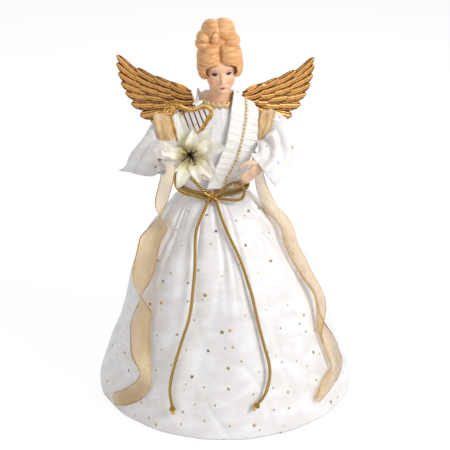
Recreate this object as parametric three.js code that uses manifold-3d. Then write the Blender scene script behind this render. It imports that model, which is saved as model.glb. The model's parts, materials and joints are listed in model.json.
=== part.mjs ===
// Angel tree topper: a doll figure on a card cone that slips over the tip of a tree.
// Millimetres. +Z is up, -Y is the front, and +X is the angel's left, the viewer's right.
// The origin is the middle of the cone's open base.
import * as THREE from 'three';
import { mergeVertices } from 'three/addons/utils/BufferGeometryUtils.js';
import Module from 'manifold-3d';

const wasm = await Module();
wasm.setup();

// Clearances
const GAP = 0.3;
const PIN_CLEARANCE = 0.25;

// Card cone and satin skirt
const HEM_RADIUS = 142;
const WAIST_HEIGHT = 226;
const WAIST_SHIFT = -12;
const CONE_WALL = 2;
const CONE_TOP_RADIUS = 30.8;
const CONE_TOP_DROP = 5;
const SKIRT_CLOTH = 1.2;
const SKIRT_FOLDS = 12;
const FOLD_DEPTH = 3;
const HEM_FOLD_DEPTH = 0.5;
const GATHER_DEPTH = 0.8;

// Upper body
const TORSO_HEIGHT = 92;
const NECK_SHIFT = -5;
const WAIST_HALF_WIDTH = 31.5;
const WAIST_HALF_DEPTH = 29;
const CHEST_DROP = 26;
const CHEST_HALF_WIDTH = 37.5;
const CHEST_HALF_DEPTH = 29;
const NECK_SLOPE = 16;
const SHOULDER_HALF_WIDTH = 38;
const SHOULDER_HALF_DEPTH = 21;
const NECK_RADIUS = 12;
const NECKLINE_EASE = 2;
const CORE_RISE = 6;
const PLUG_LENGTH = 16;
const BODICE_CLOTH = 1;
const SASH_CLOTH = 1;
const SASH_WIDTH = 14;

// Head and hair
const HEAD_RISE = 34;
const FACE_HALF_WIDTH = 15;
const FACE_HALF_HEIGHT = 20;
const SKULL_HALF_DEPTH = 19;
const HEAD_TURN = 10;
const HAIR_HALF_WIDTH = 24;
const BUN_HALF_WIDTH = 23;
const BUN_RISE = 38;
const BUN_HALF_HEIGHT = 16;

// Arms
const ARM_AXIS_DROP = 1;
const ARM_WIRE_DIAMETER = 3;
const WIRE_SOCKET_DEPTH = 12;
const ARMHOLE_RADIUS = 12;
const SLEEVE_CLOTH = 1;
const HAND_LENGTH = 25;

// Wings and what they hang on
const WING_SPAN = 90;
const WING_THICKNESS = 2.4;
const FEATHER_STEP = 1.6;
const WING_SWEEP = 12;
const HINGE_SPACING = 30;
const HINGE_DROP = 14;
const BARREL_LENGTH = 16;
const BARREL_RADIUS = 3.2;
const WING_PIN_DIAMETER = 2.4;
const EAR_HEIGHT = 3;
const BRACKET_PLATE = 2;

// Trimmings
const CORD_DIAMETER = 3;
const BRAID_DIAMETER = 3;
const RUFFLE_WIDTH = 27;
const RUFFLE_CLOTH = 0.8;
const PLEAT_DEPTH = 1.6;
const PLEAT_PITCH = 7;
const COLLAR_HEIGHT = 12;
const RIBBON_WIDTH = 24;
const SHOULDER_RIBBON_WIDTH = 15;
const SHOULDER_RIBBON_ANGLE = 42;
const RIBBON_THICKNESS = 0.8;
const STAR_RADIUS = 6.5;
const STAR_THICKNESS = 2;
const KNOT_RADIUS = 3.4;

// Harp and flower
const HARP_THICKNESS = 3.2;
const STRING_WIDTH = 0.8;
const PETAL_LENGTH = 44;
const PETAL_HALF_WIDTH = 11;
const INNER_PETAL_LENGTH = 27;
const PETAL_THICKNESS = 0.9;
const STAMEN_LENGTH = 9;
const STEM_DIAMETER = 2.4;

const { degToRad, lerp, clamp } = THREE.MathUtils;
const FULL_TURN = Math.PI * 2;
const vec = (x, y, z) => new THREE.Vector3(x, y, z);
const UP = vec(0, 0, 1);

// Solids

function faceOutwards(geometry) {
  const points = geometry.attributes.position;
  const corners = geometry.index.array;
  const [a, b, c] = [vec(), vec(), vec()];
  let volume = 0;
  for (let i = 0; i < corners.length; i += 3) {
    a.fromBufferAttribute(points, corners[i]);
    b.fromBufferAttribute(points, corners[i + 1]);
    c.fromBufferAttribute(points, corners[i + 2]);
    volume += a.dot(b.cross(c));
  }
  if (volume < 0) {
    for (let i = 0; i < corners.length; i += 3) {
      [corners[i], corners[i + 1]] = [corners[i + 1], corners[i]];
    }
  }
  return geometry;
}

// A closed skin over rings of points. A loop joins the last ring to the first,
// otherwise each end ring is closed by a fan.
function skinRings(rings, loop = false) {
  const count = rings[0].length;
  const points = rings.flat();
  const index = [];
  const bands = loop ? rings.length : rings.length - 1;
  for (let i = 0; i < bands; i += 1) {
    const here = i * count;
    const next = ((i + 1) % rings.length) * count;
    for (let j = 0; j < count; j += 1) {
      const k = (j + 1) % count;
      index.push(here + j, here + k, next + k, here + j, next + k, next + j);
    }
  }
  if (!loop) {
    const tail = (rings.length - 1) * count;
    for (let j = 1; j < count - 1; j += 1) {
      index.push(0, j + 1, j, tail, tail + j, tail + j + 1);
    }
  }
  const geometry = new THREE.BufferGeometry().setFromPoints(points);
  geometry.setIndex(index);
  return faceOutwards(geometry);
}

function solidOf(geometry) {
  const bare = geometry.clone();
  bare.deleteAttribute('normal');
  bare.deleteAttribute('uv');
  const merged = mergeVertices(bare, 1e-4);
  return new wasm.Manifold(new wasm.Mesh({
    numProp: 3,
    vertProperties: new Float32Array(merged.attributes.position.array),
    triVerts: new Uint32Array(merged.index.array),
  }));
}

function geometryOf(solid) {
  const mesh = solid.getMesh();
  const geometry = new THREE.BufferGeometry();
  geometry.setAttribute('position', new THREE.BufferAttribute(Float32Array.from(mesh.vertProperties), 3));
  geometry.setIndex(new THREE.BufferAttribute(Uint32Array.from(mesh.triVerts), 1));
  return geometry;
}

const joined = (...shapes) => shapes.map(solidOf).reduce((all, next) => all.add(next));
const join = (...shapes) => geometryOf(joined(...shapes));
const cut = (shape, ...tools) => geometryOf(solidOf(shape).subtract(joined(...tools)));

function ellipsoid(center, radii, segments = 12, rows = 8) {
  const geometry = new THREE.SphereGeometry(1, segments, rows);
  geometry.rotateX(Math.PI / 2);
  geometry.scale(...radii);
  return geometry.translate(...center);
}

function box(low, high) {
  const size = high.map((value, i) => value - low[i]);
  const middle = high.map((value, i) => (value + low[i]) / 2);
  return new THREE.BoxGeometry(...size).translate(...middle);
}

function rod(radius, from, to, sides = 16) {
  const along = to.clone().sub(from);
  const geometry = new THREE.CylinderGeometry(radius, radius, along.length(), sides);
  const turn = new THREE.Quaternion().setFromUnitVectors(vec(0, 1, 0), along.clone().normalize());
  geometry.applyQuaternion(turn);
  const middle = from.clone().add(to).multiplyScalar(0.5);
  return geometry.translate(...middle.toArray());
}

function roundSection(radius, sides) {
  const corners = Array.from({ length: sides }, (_, i) => {
    const angle = (i * FULL_TURN) / sides;
    return new THREE.Vector2(radius * Math.cos(angle), radius * Math.sin(angle));
  });
  return new THREE.Shape(corners);
}

function tube(points, diameter, steps, sides = 8) {
  const path = new THREE.CatmullRomCurve3(points, false, 'centripetal');
  return new THREE.ExtrudeGeometry(roundSection(diameter / 2, sides), { steps, extrudePath: path });
}

const points3 = (list, origin = vec(0, 0, 0)) => list.map(([x, y, z]) => vec(x, y, z).add(origin));

// Body shape: the cone and skirt lean a little to the angel's right on the way up

function axisX(z) {
  if (z <= WAIST_HEIGHT) {
    return WAIST_SHIFT * (z / WAIST_HEIGHT) ** 2;
  }
  const share = clamp((z - WAIST_HEIGHT) / TORSO_HEIGHT, 0, 1);
  return lerp(WAIST_SHIFT, NECK_SHIFT, share);
}

function interpolate(table, at) {
  const last = table.length - 1;
  if (at <= table[0][0]) {
    return table[0].slice(1);
  }
  if (at >= table[last][0]) {
    return table[last].slice(1);
  }
  const i = table.findIndex(([key]) => key > at);
  const share = (at - table[i - 1][0]) / (table[i][0] - table[i - 1][0]);
  return table[i].slice(1).map((value, k) => lerp(table[i - 1][k + 1], value, share));
}

const CONE_TOP = WAIST_HEIGHT - CONE_TOP_DROP;
const CONE_BASE_RADIUS = HEM_RADIUS - HEM_FOLD_DEPTH - SKIRT_CLOTH - GAP * 2;
const SKIRT_TOP_RADIUS = CONE_TOP_RADIUS + GAP + SKIRT_CLOTH + GATHER_DEPTH * 2;

// Bell outline of the skirt: share of the height, share of the spread, share of the fold depth
const SKIRT_BELL = [
  [0, 1, 0],
  [0.136, 0.907, 0.25],
  [0.28, 0.81, 0.5],
  [0.434, 0.722, 0.75],
  [0.588, 0.648, 1],
  [0.715, 0.528, 1],
  [0.824, 0.361, 0.95],
  [0.905, 0.218, 0.7],
  [0.959, 0.107, 0.4],
  [1, 0, 0],
];

function skirtOutline(z) {
  const [spread, depth] = interpolate(SKIRT_BELL, z / CONE_TOP);
  const endDepth = z > CONE_TOP / 2 ? GATHER_DEPTH : HEM_FOLD_DEPTH;
  return { radius: lerp(SKIRT_TOP_RADIUS, HEM_RADIUS, spread), depth: lerp(endDepth, FOLD_DEPTH, depth) };
}

function skirtRadius(angle, z) {
  const { radius, depth } = skirtOutline(z);
  const uneven = 0.8 + 0.2 * Math.cos(2 * angle + 1);
  return radius - depth + depth * uneven * Math.cos(SKIRT_FOLDS * angle);
}

// A point that stands off the crests of the skirt's folds
function overSkirt(angle, z, standOff) {
  const reach = skirtOutline(z).radius + standOff;
  return vec(axisX(z) + reach * Math.cos(angle), reach * Math.sin(angle), z);
}

// Heights above the waist, counted down from the neckline
const SHOULDER_RISE = TORSO_HEIGHT - NECK_SLOPE;
const CHEST_RISE = SHOULDER_RISE - CHEST_DROP;

// Half width and half depth of the torso at each height above the waist
const TORSO_TABLE = [
  [-CONE_TOP_DROP, WAIST_HALF_WIDTH, WAIST_HALF_DEPTH],
  [0, WAIST_HALF_WIDTH, WAIST_HALF_DEPTH],
  [CHEST_RISE, CHEST_HALF_WIDTH, CHEST_HALF_DEPTH],
  [SHOULDER_RISE, SHOULDER_HALF_WIDTH, SHOULDER_HALF_DEPTH],
  [TORSO_HEIGHT, NECK_RADIUS + NECKLINE_EASE, NECK_RADIUS + NECKLINE_EASE],
];

function torsoPoint(angle, rise, offset) {
  const [halfWidth, halfDepth] = interpolate(TORSO_TABLE, rise);
  const z = WAIST_HEIGHT + rise;
  return vec(axisX(z) + (halfWidth + offset) * Math.cos(angle), (halfDepth + offset) * Math.sin(angle), z);
}

// Point of the torso's front at a place across and a height above the waist
function chestPoint(x, rise, offset) {
  const [halfWidth, halfDepth] = interpolate(TORSO_TABLE, rise);
  const z = WAIST_HEIGHT + rise;
  const across = clamp((x - axisX(z)) / (halfWidth + offset), -0.98, 0.98);
  return vec(x, -(halfDepth + offset) * Math.sqrt(1 - across * across), z);
}

function torsoRing(rise, offset, segments) {
  return Array.from({ length: segments }, (_, j) => torsoPoint((j * FULL_TURN) / segments, rise, offset));
}

function torsoShell(rises, inner, cloth, segments) {
  const outside = rises.map((rise) => torsoRing(rise, inner + cloth, segments));
  const inside = rises.map((rise) => torsoRing(rise, inner, segments)).reverse();
  return skinRings([...outside, ...inside], true);
}

const BODICE_INNER = GAP * 2;
const BODICE_OUTER = BODICE_INNER + BODICE_CLOTH;
const SASH_INNER = BODICE_OUTER + GAP;
const SASH_OUTER = SASH_INNER + SASH_CLOTH;

// Places that several pieces share
const ARM_AXIS_Z = WAIST_HEIGHT + SHOULDER_RISE - ARM_AXIS_DROP;
const CHEST_FRONT = -(CHEST_HALF_DEPTH + BODICE_OUTER);

// The armhole stands just clear of the widest part of the bodice on its side
function shoulderAt(side) {
  const reaches = TORSO_TABLE.map(([rise, halfWidth]) => side * axisX(WAIST_HEIGHT + rise) + halfWidth);
  return vec(side * (Math.max(...reaches) + BODICE_OUTER + GAP * 2), 0, ARM_AXIS_Z);
}

const socketEnd = (side) => (
  vec(axisX(ARM_AXIS_Z) + side * (SHOULDER_HALF_WIDTH - WIRE_SOCKET_DEPTH), 0, ARM_AXIS_Z)
);

// Finishes

const finish = (color, roughness, metalness = 0) => () => (
  new THREE.MeshStandardMaterial({ color, roughness, metalness })
);
const satin = finish(0xf3efec, 0.4);
const card = finish(0xcfc4b0, 0.9);
const core = finish(0xe9e5dc, 0.95);
const bisque = finish(0xebc1a1, 0.5);
const hairGlaze = finish(0xdc9f69, 0.45);
const lace = finish(0xf1eee9, 0.8);
const antiqueGold = finish(0xb98a4f, 0.4, 0.8);
const goldCord = finish(0x99804e, 0.6, 0.3);
const organza = finish(0xdcc6a6, 0.5);
const silkPetal = finish(0xf7f0e9, 0.7);
const stamenGold = finish(0x6b5326, 0.5, 0.3);
const wire = finish(0x8a8a86, 0.4, 0.9);

const topper = new THREE.Group();

function addPiece(name, geometry, material) {
  const mesh = new THREE.Mesh(geometry, material());
  mesh.name = name;
  topper.add(mesh);
  return mesh;
}

// Card cone

function coneRing(share, inset) {
  const segments = 40;
  const z = CONE_TOP * share;
  const radius = lerp(CONE_BASE_RADIUS, CONE_TOP_RADIUS, share) - inset;
  return Array.from({ length: segments }, (_, j) => {
    const angle = (j * FULL_TURN) / segments;
    return vec(axisX(z) + radius * Math.cos(angle), radius * Math.sin(angle), z);
  });
}

const CONE_SHARES = [0, 0.5, 1];
addPiece('skirt_cone', skinRings([
  ...CONE_SHARES.map((share) => coneRing(share, 0)),
  ...CONE_SHARES.map((share) => coneRing(share, CONE_WALL)).reverse(),
], true), card);

// Skirt: gathered satin with its main folds

function skirtRing(share, inset) {
  const segments = SKIRT_FOLDS * 5;
  const z = CONE_TOP * share;
  return Array.from({ length: segments }, (_, j) => {
    const angle = (j * FULL_TURN) / segments;
    const radius = skirtRadius(angle, z) - inset;
    return vec(axisX(z) + radius * Math.cos(angle), radius * Math.sin(angle), z);
  });
}

const SKIRT_SHARES = SKIRT_BELL.map(([share]) => share);
addPiece('skirt', skinRings([
  ...SKIRT_SHARES.map((share) => skirtRing(share, 0)),
  ...SKIRT_SHARES.map((share) => skirtRing(share, SKIRT_CLOTH)).reverse(),
], true), satin);

// Torso core: a plug in the cone's top, and the body above it up to the shoulders

const TORSO_TOP = SHOULDER_RISE + CORE_RISE;
const UPPER_CHEST = (CHEST_RISE + SHOULDER_RISE) / 2;
const WIRE_RADIUS = ARM_WIRE_DIAMETER / 2;

function socketTool(side) {
  const outside = shoulderAt(side).add(vec(side * GAP, 0, 0));
  return rod(WIRE_RADIUS + PIN_CLEARANCE, socketEnd(side), outside, 12);
}

function torsoCore() {
  const segments = 24;
  const plugRadius = CONE_TOP_RADIUS - CONE_WALL - GAP;
  const plugRing = (z) => Array.from({ length: segments }, (_, j) => {
    const angle = (j * FULL_TURN) / segments;
    return vec(axisX(CONE_TOP) + plugRadius * Math.cos(angle), plugRadius * Math.sin(angle), z);
  });
  const rises = [GAP - CONE_TOP_DROP, 0, CHEST_RISE, UPPER_CHEST, SHOULDER_RISE, TORSO_TOP];
  return skinRings([
    plugRing(CONE_TOP - PLUG_LENGTH),
    plugRing(CONE_TOP + GAP),
    ...rises.map((rise) => torsoRing(rise, 0, segments)),
  ]);
}

addPiece('torso_form', cut(torsoCore(), socketTool(1), socketTool(-1)), core);

// Bodice: satin over the core and the shoulder plate, up to the neckline

const BODICE_RISES = [
  GAP * 2 - CONE_TOP_DROP, 0, CHEST_RISE, UPPER_CHEST, SHOULDER_RISE,
  (SHOULDER_RISE + TORSO_HEIGHT) / 2, TORSO_HEIGHT,
];
addPiece(
  'bodice',
  cut(torsoShell(BODICE_RISES, BODICE_INNER, BODICE_CLOTH, 24), socketTool(1), socketTool(-1)),
  satin,
);

// Sash: organza wound round the waist under the belt

const SASH_LOW = GAP * 3 - CONE_TOP_DROP;
const SASH_TOP = SASH_LOW + SASH_WIDTH;
addPiece('waist_sash', torsoShell([SASH_LOW, 0, SASH_TOP], SASH_INNER, SASH_CLOTH, 24), organza);

// Head, neck and shoulder plate in one, with the hair over it

const HEAD_CENTER = vec(NECK_SHIFT, -2, WAIST_HEIGHT + TORSO_HEIGHT + HEAD_RISE);
const headTurn = new THREE.Matrix4()
  .makeTranslation(HEAD_CENTER)
  .multiply(new THREE.Matrix4().makeRotationZ(degToRad(HEAD_TURN)));
const onHead = (center, radii, ...density) => ellipsoid(center, radii, ...density).applyMatrix4(headTurn);

function faceForms(extra) {
  const skull = [FACE_HALF_WIDTH + 2 + extra, SKULL_HALF_DEPTH + extra, FACE_HALF_HEIGHT + extra];
  const jaw = [FACE_HALF_WIDTH * 0.72 + extra, 11 + extra, 10 + extra];
  return [
    onHead([0, 0, 2], skull, 14, 10),
    onHead([0, -9, 4 - FACE_HALF_HEIGHT], jaw, 10, 6),
  ];
}

const NECK_BASE = WAIST_HEIGHT + TORSO_HEIGHT;
const PLATE_MIDDLE = (TORSO_TOP + TORSO_HEIGHT) / 2;
const neckFrom = vec(NECK_SHIFT, 0, WAIST_HEIGHT + PLATE_MIDDLE);
const neckTo = HEAD_CENTER.clone().add(vec(0, 1, -6));
const shoulderPlate = skinRings([
  torsoRing(TORSO_TOP + GAP, 0, 24),
  torsoRing(PLATE_MIDDLE, 0, 24),
  torsoRing(TORSO_HEIGHT, 0, 24),
]);
const nose = onHead([0, -SKULL_HALF_DEPTH, -5], [2.4, 2.6, 4], 6, 4);
addPiece('head', join(shoulderPlate, rod(NECK_RADIUS, neckFrom, neckTo, 16), ...faceForms(0), nose), bisque);

const hairLobes = [
  onHead([0, 4, 9], [HAIR_HALF_WIDTH - 1, SKULL_HALF_DEPTH + 4, 19], 14, 8),
  onHead([-HAIR_HALF_WIDTH + 10, -3, 8], [10, 16, 17], 10, 7),
  onHead([HAIR_HALF_WIDTH - 10, -3, 8], [10, 16, 17], 10, 7),
  onHead([0, 10, 0], [HAIR_HALF_WIDTH - 5, 15, 19], 10, 7),
  onHead([0, 3, BUN_RISE - 14], [HAIR_HALF_WIDTH - 2, SKULL_HALF_DEPTH + 1, 13], 12, 6),
  onHead([0, 2, BUN_RISE], [BUN_HALF_WIDTH - 2, 20, BUN_HALF_HEIGHT], 12, 8),
];
const BUN_CURLS = 5;
const bunCurls = Array.from({ length: BUN_CURLS }, (_, i) => {
  const angle = (i * FULL_TURN) / BUN_CURLS - Math.PI / 2;
  const reach = BUN_HALF_WIDTH - 10;
  return onHead([reach * Math.cos(angle), 2 + reach * Math.sin(angle), BUN_RISE + 1], [10, 10, 12], 8, 5);
});
const faceWindow = onHead([0, -29, -7], [FACE_HALF_WIDTH + 2, 20, FACE_HALF_HEIGHT], 12, 8);
const neckRoom = rod(NECK_RADIUS + GAP, neckFrom, neckTo, 16);
addPiece(
  'hair',
  cut(join(...hairLobes, ...bunCurls), ...faceForms(GAP), neckRoom, nose, faceWindow),
  hairGlaze,
);

// Gold braid round the neckline

class NecklineCurve extends THREE.Curve {
  constructor(radius, z) {
    super();
    this.radius = radius;
    this.z = z;
  }

  getPoint(share) {
    const angle = share * FULL_TURN;
    return vec(NECK_SHIFT + this.radius * Math.cos(angle), this.radius * Math.sin(angle), this.z);
  }
}

const BRAID_RADIUS = BRAID_DIAMETER / 2;
const NECKLINE_RADIUS = NECK_RADIUS + NECKLINE_EASE + BODICE_OUTER;
const NECKLINE_Z = NECK_BASE + BRAID_RADIUS + GAP;
const necklineCurve = new NecklineCurve(NECKLINE_RADIUS, NECKLINE_Z);
addPiece('neckline_braid', new THREE.TubeGeometry(necklineCurve, 26, BRAID_RADIUS, 6, true), antiqueGold);

// Lace ruffle: a pleated strip down the front, over the left shoulder to the waist

const RUFFLE_LOW = SASH_TOP + 1.5;
const RUFFLE_HIGH = SHOULDER_RISE + 5;
// Place across the chest and share of the way up from the sash to the shoulder
const RUFFLE_ROUTE = [
  [22.5, 1], [21.5, 0.928], [20, 0.784], [18, 0.626], [15.5, 0.468], [12, 0.31], [6, 0.152], [0, 0],
].map(([x, share]) => [x, lerp(RUFFLE_LOW, RUFFLE_HIGH, share)]);
const RUFFLE_FLOOR = BODICE_OUTER + RIBBON_THICKNESS + GAP * 3;

function frontStrip(route, steps, offset, section) {
  const flat = new THREE.SplineCurve(route.map(([x, rise]) => new THREE.Vector2(x, rise)));
  const at = (share) => {
    const { x, y } = flat.getPoint(clamp(share, 0, 1));
    return chestPoint(x, y, offset);
  };
  return Array.from({ length: steps + 1 }, (_, i) => {
    const share = i / steps;
    const center = at(share);
    const along = at(share + 0.01).sub(at(share - 0.01)).normalize();
    const side = chestPoint(center.x + 0.5, center.z - WAIST_HEIGHT, offset)
      .sub(chestPoint(center.x - 0.5, center.z - WAIST_HEIGHT, offset)).normalize();
    const out = side.clone().cross(along).normalize();
    if (out.y > 0) {
      out.negate();
    }
    const across = along.clone().cross(out).normalize();
    return section(share, center, across, out, i);
  });
}

const spot = (center, across, out, sideways, lift) => (
  center.clone().addScaledVector(across, sideways).addScaledVector(out, lift)
);

function ruffleSection(share, center, across, out, i) {
  const half = (RUFFLE_WIDTH / 2) * Math.min(1, 0.62 + share * 2.4, 0.7 + (1 - share) * 1.6);
  const pleat = i % 2 ? PLEAT_DEPTH : 0;
  const low = [[-half, pleat], [0, 0], [half, PLEAT_DEPTH - pleat]];
  const high = low.map(([sideways, lift]) => [sideways, lift + RUFFLE_CLOTH]).reverse();
  return [...low, ...high].map(([sideways, lift]) => spot(center, across, out, sideways, lift));
}

const RUFFLE_LENGTH = 100;
const ruffleSteps = 2 * Math.round(RUFFLE_LENGTH / PLEAT_PITCH) + 2;
addPiece('lace_ruffle', skinRings(frontStrip(RUFFLE_ROUTE, ruffleSteps, RUFFLE_FLOOR, ruffleSection)), lace);

const RUFFLE_BRAID_FLOOR = RUFFLE_FLOOR + RUFFLE_CLOTH + GAP;
const RUFFLE_BRAID_HALF = 2.2;
const RUFFLE_BRAID_THICK = 1.4;
const braidSection = (share, center, across, out) => [
  spot(center, across, out, -RUFFLE_BRAID_HALF, 0.5),
  spot(center, across, out, RUFFLE_BRAID_HALF, 0.5),
  spot(center, across, out, RUFFLE_BRAID_HALF * 0.6, RUFFLE_BRAID_THICK),
  spot(center, across, out, -RUFFLE_BRAID_HALF * 0.6, RUFFLE_BRAID_THICK),
];
addPiece(
  'ruffle_braid', skinRings(frontStrip(RUFFLE_ROUTE, 24, RUFFLE_BRAID_FLOOR, braidSection)), antiqueGold,
);

// Lace collar: a pleated fan standing behind the neck

function laceCollar() {
  const steps = 22;
  const [from, to] = [degToRad(20), degToRad(192)];
  const base = NECKLINE_RADIUS + BRAID_RADIUS + GAP * 2;
  const low = NECK_BASE - 0.5;
  return skinRings(Array.from({ length: steps + 1 }, (_, i) => {
    const share = i / steps;
    const angle = lerp(from, to, share);
    const pleat = i % 2 ? PLEAT_DEPTH : 0;
    const height = COLLAR_HEIGHT * (0.75 + 0.25 * Math.sin(share * Math.PI * 0.5));
    const ring = (radius, z) => vec(NECK_SHIFT + radius * Math.cos(angle), radius * Math.sin(angle), z);
    return [
      ring(base, low),
      ring(base + RUFFLE_CLOTH, low),
      ring(base + RUFFLE_CLOTH + 5 + pleat, low + height),
      ring(base + 5 + pleat, low + height),
    ];
  }));
}

addPiece('lace_collar', laceCollar(), lace);

// Ribbons over the shoulders, flat on the bodice from shoulder to sash

function shoulderRibbon(side) {
  const front = -Math.PI / 2;
  const middle = front + side * degToRad(SHOULDER_RIBBON_ANGLE);
  const columns = [-1, -0.5, 0, 0.5, 1].map((share) => (
    middle + (side * share * SHOULDER_RIBBON_WIDTH) / (2 * SHOULDER_HALF_WIDTH)
  ));
  const floor = BODICE_OUTER + GAP + 0.2;
  const rises = [SASH_TOP + 1, CHEST_RISE / 2, CHEST_RISE, UPPER_CHEST, SHOULDER_RISE, SHOULDER_RISE + 4];
  return skinRings(rises.map((rise) => [
    ...columns.map((angle) => torsoPoint(angle, rise, floor)),
    ...columns.map((angle) => torsoPoint(angle, rise, floor + RIBBON_THICKNESS)).reverse(),
  ]));
}

addPiece('shoulder_ribbon_left', shoulderRibbon(1), organza);
addPiece('shoulder_ribbon_right', shoulderRibbon(-1), organza);

// Hanging ribbons: angle round the skirt, height, stand-off from the folds, and roll of the ribbon

const LEFT_RIBBON_ROUTE = [
  [-44, 231, 2.6, 0], [-36, 236, 9, 0], [-29, 234, 17, 0], [-25, 222, 18, 0], [-20, 204, 5, 0],
  [-22, 180, 1.6, 0], [-24, 155, 1.6, 8], [-23, 128, 1.6, 0], [-24, 100, 2.2, 10], [-25, 75, 2.5, 0],
  [-25, 50, 2, 0], [-30, 34, 3.5, 0], [-38, 24, 7, 0], [-45, 18, 10, 10],
];
const RIGHT_RIBBON_ROUTE = [
  [-136, 231, 2.6, 0], [-145, 236, 10, 0], [-153, 235, 19, 0], [-160, 222, 22, 0], [-162, 203, 10, 0],
  [-156, 180, 2.4, 0], [-147, 155, 1.6, 0], [-146, 128, 2.5, -10], [-140, 100, 1.6, 0], [-137, 75, 1.6, 0],
  [-133, 50, 1.6, 0], [-135, 30, 2.5, 0], [-142, 17, 5, 25], [-149, 13, 8, 35],
];

function hangingRibbon(route, steps) {
  const places = new THREE.CatmullRomCurve3(route.map(([angle, z, off]) => vec(angle, z, off)));
  const rolls = new THREE.SplineCurve(route.map(([, , , roll], i) => new THREE.Vector2(i, roll)));
  const at = (share) => {
    const { x, y, z } = places.getPoint(clamp(share, 0, 1));
    return overSkirt(degToRad(x), y, z + RIBBON_THICKNESS / 2);
  };
  return skinRings(Array.from({ length: steps + 1 }, (_, i) => {
    const share = i / steps;
    const center = at(share);
    const along = at(share + 0.01).sub(at(share - 0.01)).normalize();
    const outward = vec(center.x - axisX(center.z), center.y, 0).normalize();
    const roll = degToRad(rolls.getPoint(share).y);
    const across = along.clone().cross(outward).normalize().applyAxisAngle(along, roll);
    const out = across.clone().cross(along).normalize();
    const half = (RIBBON_WIDTH / 2) * Math.min(1, 0.45 + share * 3);
    const thick = RIBBON_THICKNESS / 2;
    return [
      spot(center, across, out, -half, -thick),
      spot(center, across, out, half, -thick),
      spot(center, across, out, half, thick),
      spot(center, across, out, -half, thick),
    ];
  }));
}

addPiece('ribbon_left', hangingRibbon(LEFT_RIBBON_ROUTE, 44), organza);
addPiece('ribbon_right', hangingRibbon(RIGHT_RIBBON_ROUTE, 44), organza);

// Belt cord, its bow and its two tails, with the star over the bow

const CORD_RADIUS = CORD_DIAMETER / 2;
const BELT_RISE = 1.5;

class BeltCurve extends THREE.Curve {
  getPoint(share) {
    return torsoPoint(share * FULL_TURN, BELT_RISE, SASH_OUTER + GAP + CORD_RADIUS);
  }
}

addPiece('belt_cord', new THREE.TubeGeometry(new BeltCurve(), 32, CORD_RADIUS, 6, true), goldCord);

const BOW_CENTER = torsoPoint(-Math.PI / 2, BELT_RISE, SASH_OUTER + GAP + CORD_DIAMETER + CORD_RADIUS);
const LEFT_LOOP = [
  [4, 0, 1.5], [8, -1, 5], [12, -2, 10], [17, -3, 14.5], [22.5, -3.5, 16.5], [28, -3.5, 14.5],
  [31.5, -3, 9], [31.5, -3, 3], [28.5, -3, -1.5], [22, -3, -3], [14, -2, -2.6], [9, -0.5, -2.6], [4, 0, -2.4],
];
const RIGHT_LOOP = [
  [-4, 0, -2.2], [-11, -0.5, -1.5], [-20, 0, 0.8], [-29, 1, 2.5], [-36, 2, 7], [-39, 2, 14],
  [-39, 1, 22], [-35, -1, 28], [-29, -2, 27], [-21, -2, 19], [-13, -1.5, 10], [-8, -1, 5], [-4, 0, 1.8],
];
addPiece('bow_loop_left', tube(points3(LEFT_LOOP, BOW_CENTER), CORD_DIAMETER, 16), goldCord);
addPiece('bow_loop_right', tube(points3(RIGHT_LOOP, BOW_CENTER), CORD_DIAMETER, 18), goldCord);

const LEFT_TAIL = [
  [-8.5, -38.5, 221.5], [-6.5, -44, 216], [-2.5, -53.5, 207.5], [3, -63, 197], [10.5, -73, 184.5],
  [16.5, -81, 173], [21.5, -88.5, 160], [26.5, -96, 146.5], [30, -101, 133], [33, -103.5, 120],
  [36.5, -106.5, 106], [40.5, -109.5, 91], [44.5, -112.5, 77], [46, -115.5, 65], [44.5, -120, 53.5],
  [40.5, -125, 44], [35, -129, 38],
];
const RIGHT_TAIL = [
  [-18, -39, 221.5], [-21, -44.5, 216], [-26, -52.5, 207.5], [-29.5, -60, 198], [-30.5, -68.5, 187.5],
  [-30.5, -78, 175.5], [-31, -86.5, 163], [-32.5, -94.5, 148], [-34, -100, 134], [-37, -104.5, 118.5],
  [-41, -106.5, 106], [-45, -108.5, 93.5], [-50.5, -112, 75.5], [-55, -115, 58], [-56.5, -118.5, 44],
  [-54.5, -124, 32],
];
addPiece('cord_tail_left', tube(points3(LEFT_TAIL), CORD_DIAMETER, 28), goldCord);
addPiece('cord_tail_right', tube(points3(RIGHT_TAIL), CORD_DIAMETER, 28), goldCord);

function tailKnot(route) {
  const [before, end] = points3(route.slice(-2));
  const along = end.clone().sub(before).normalize();
  const center = end.clone().addScaledVector(along, KNOT_RADIUS * 1.2 + GAP);
  const knot = ellipsoid([0, 0, 0], [KNOT_RADIUS, KNOT_RADIUS, KNOT_RADIUS * 1.2], 10, 7);
  knot.applyQuaternion(new THREE.Quaternion().setFromUnitVectors(UP, along));
  return knot.translate(...center.toArray());
}

addPiece('tail_knot_left', tailKnot(LEFT_TAIL), goldCord);
addPiece('tail_knot_right', tailKnot(RIGHT_TAIL), goldCord);

function starBadge() {
  const points = 8;
  const outline = Array.from({ length: points * 2 }, (_, i) => {
    const angle = (i * Math.PI) / points;
    const reach = i % 2 ? STAR_RADIUS * 0.6 : STAR_RADIUS;
    return new THREE.Vector2(reach * Math.cos(angle), reach * Math.sin(angle));
  });
  const shape = new THREE.Shape(outline);
  const plate = new THREE.ExtrudeGeometry(shape, { depth: STAR_THICKNESS, bevelEnabled: false });
  const dome = ellipsoid([0, 0, STAR_THICKNESS], [STAR_RADIUS * 0.45, STAR_RADIUS * 0.45, 1.5], 12, 8);
  const badge = join(plate, dome);
  badge.rotateX(Math.PI / 2);
  const back = BOW_CENTER.clone().add(vec(-1, -CORD_RADIUS - GAP, 0));
  return badge.translate(...back.toArray());
}

addPiece('belt_star', starBadge(), antiqueGold);

// Sleeves: gathered on the arm wire at the shoulder. Each ring has its centre from the shoulder,
// half width, half height and the droop of its lower side.

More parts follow.
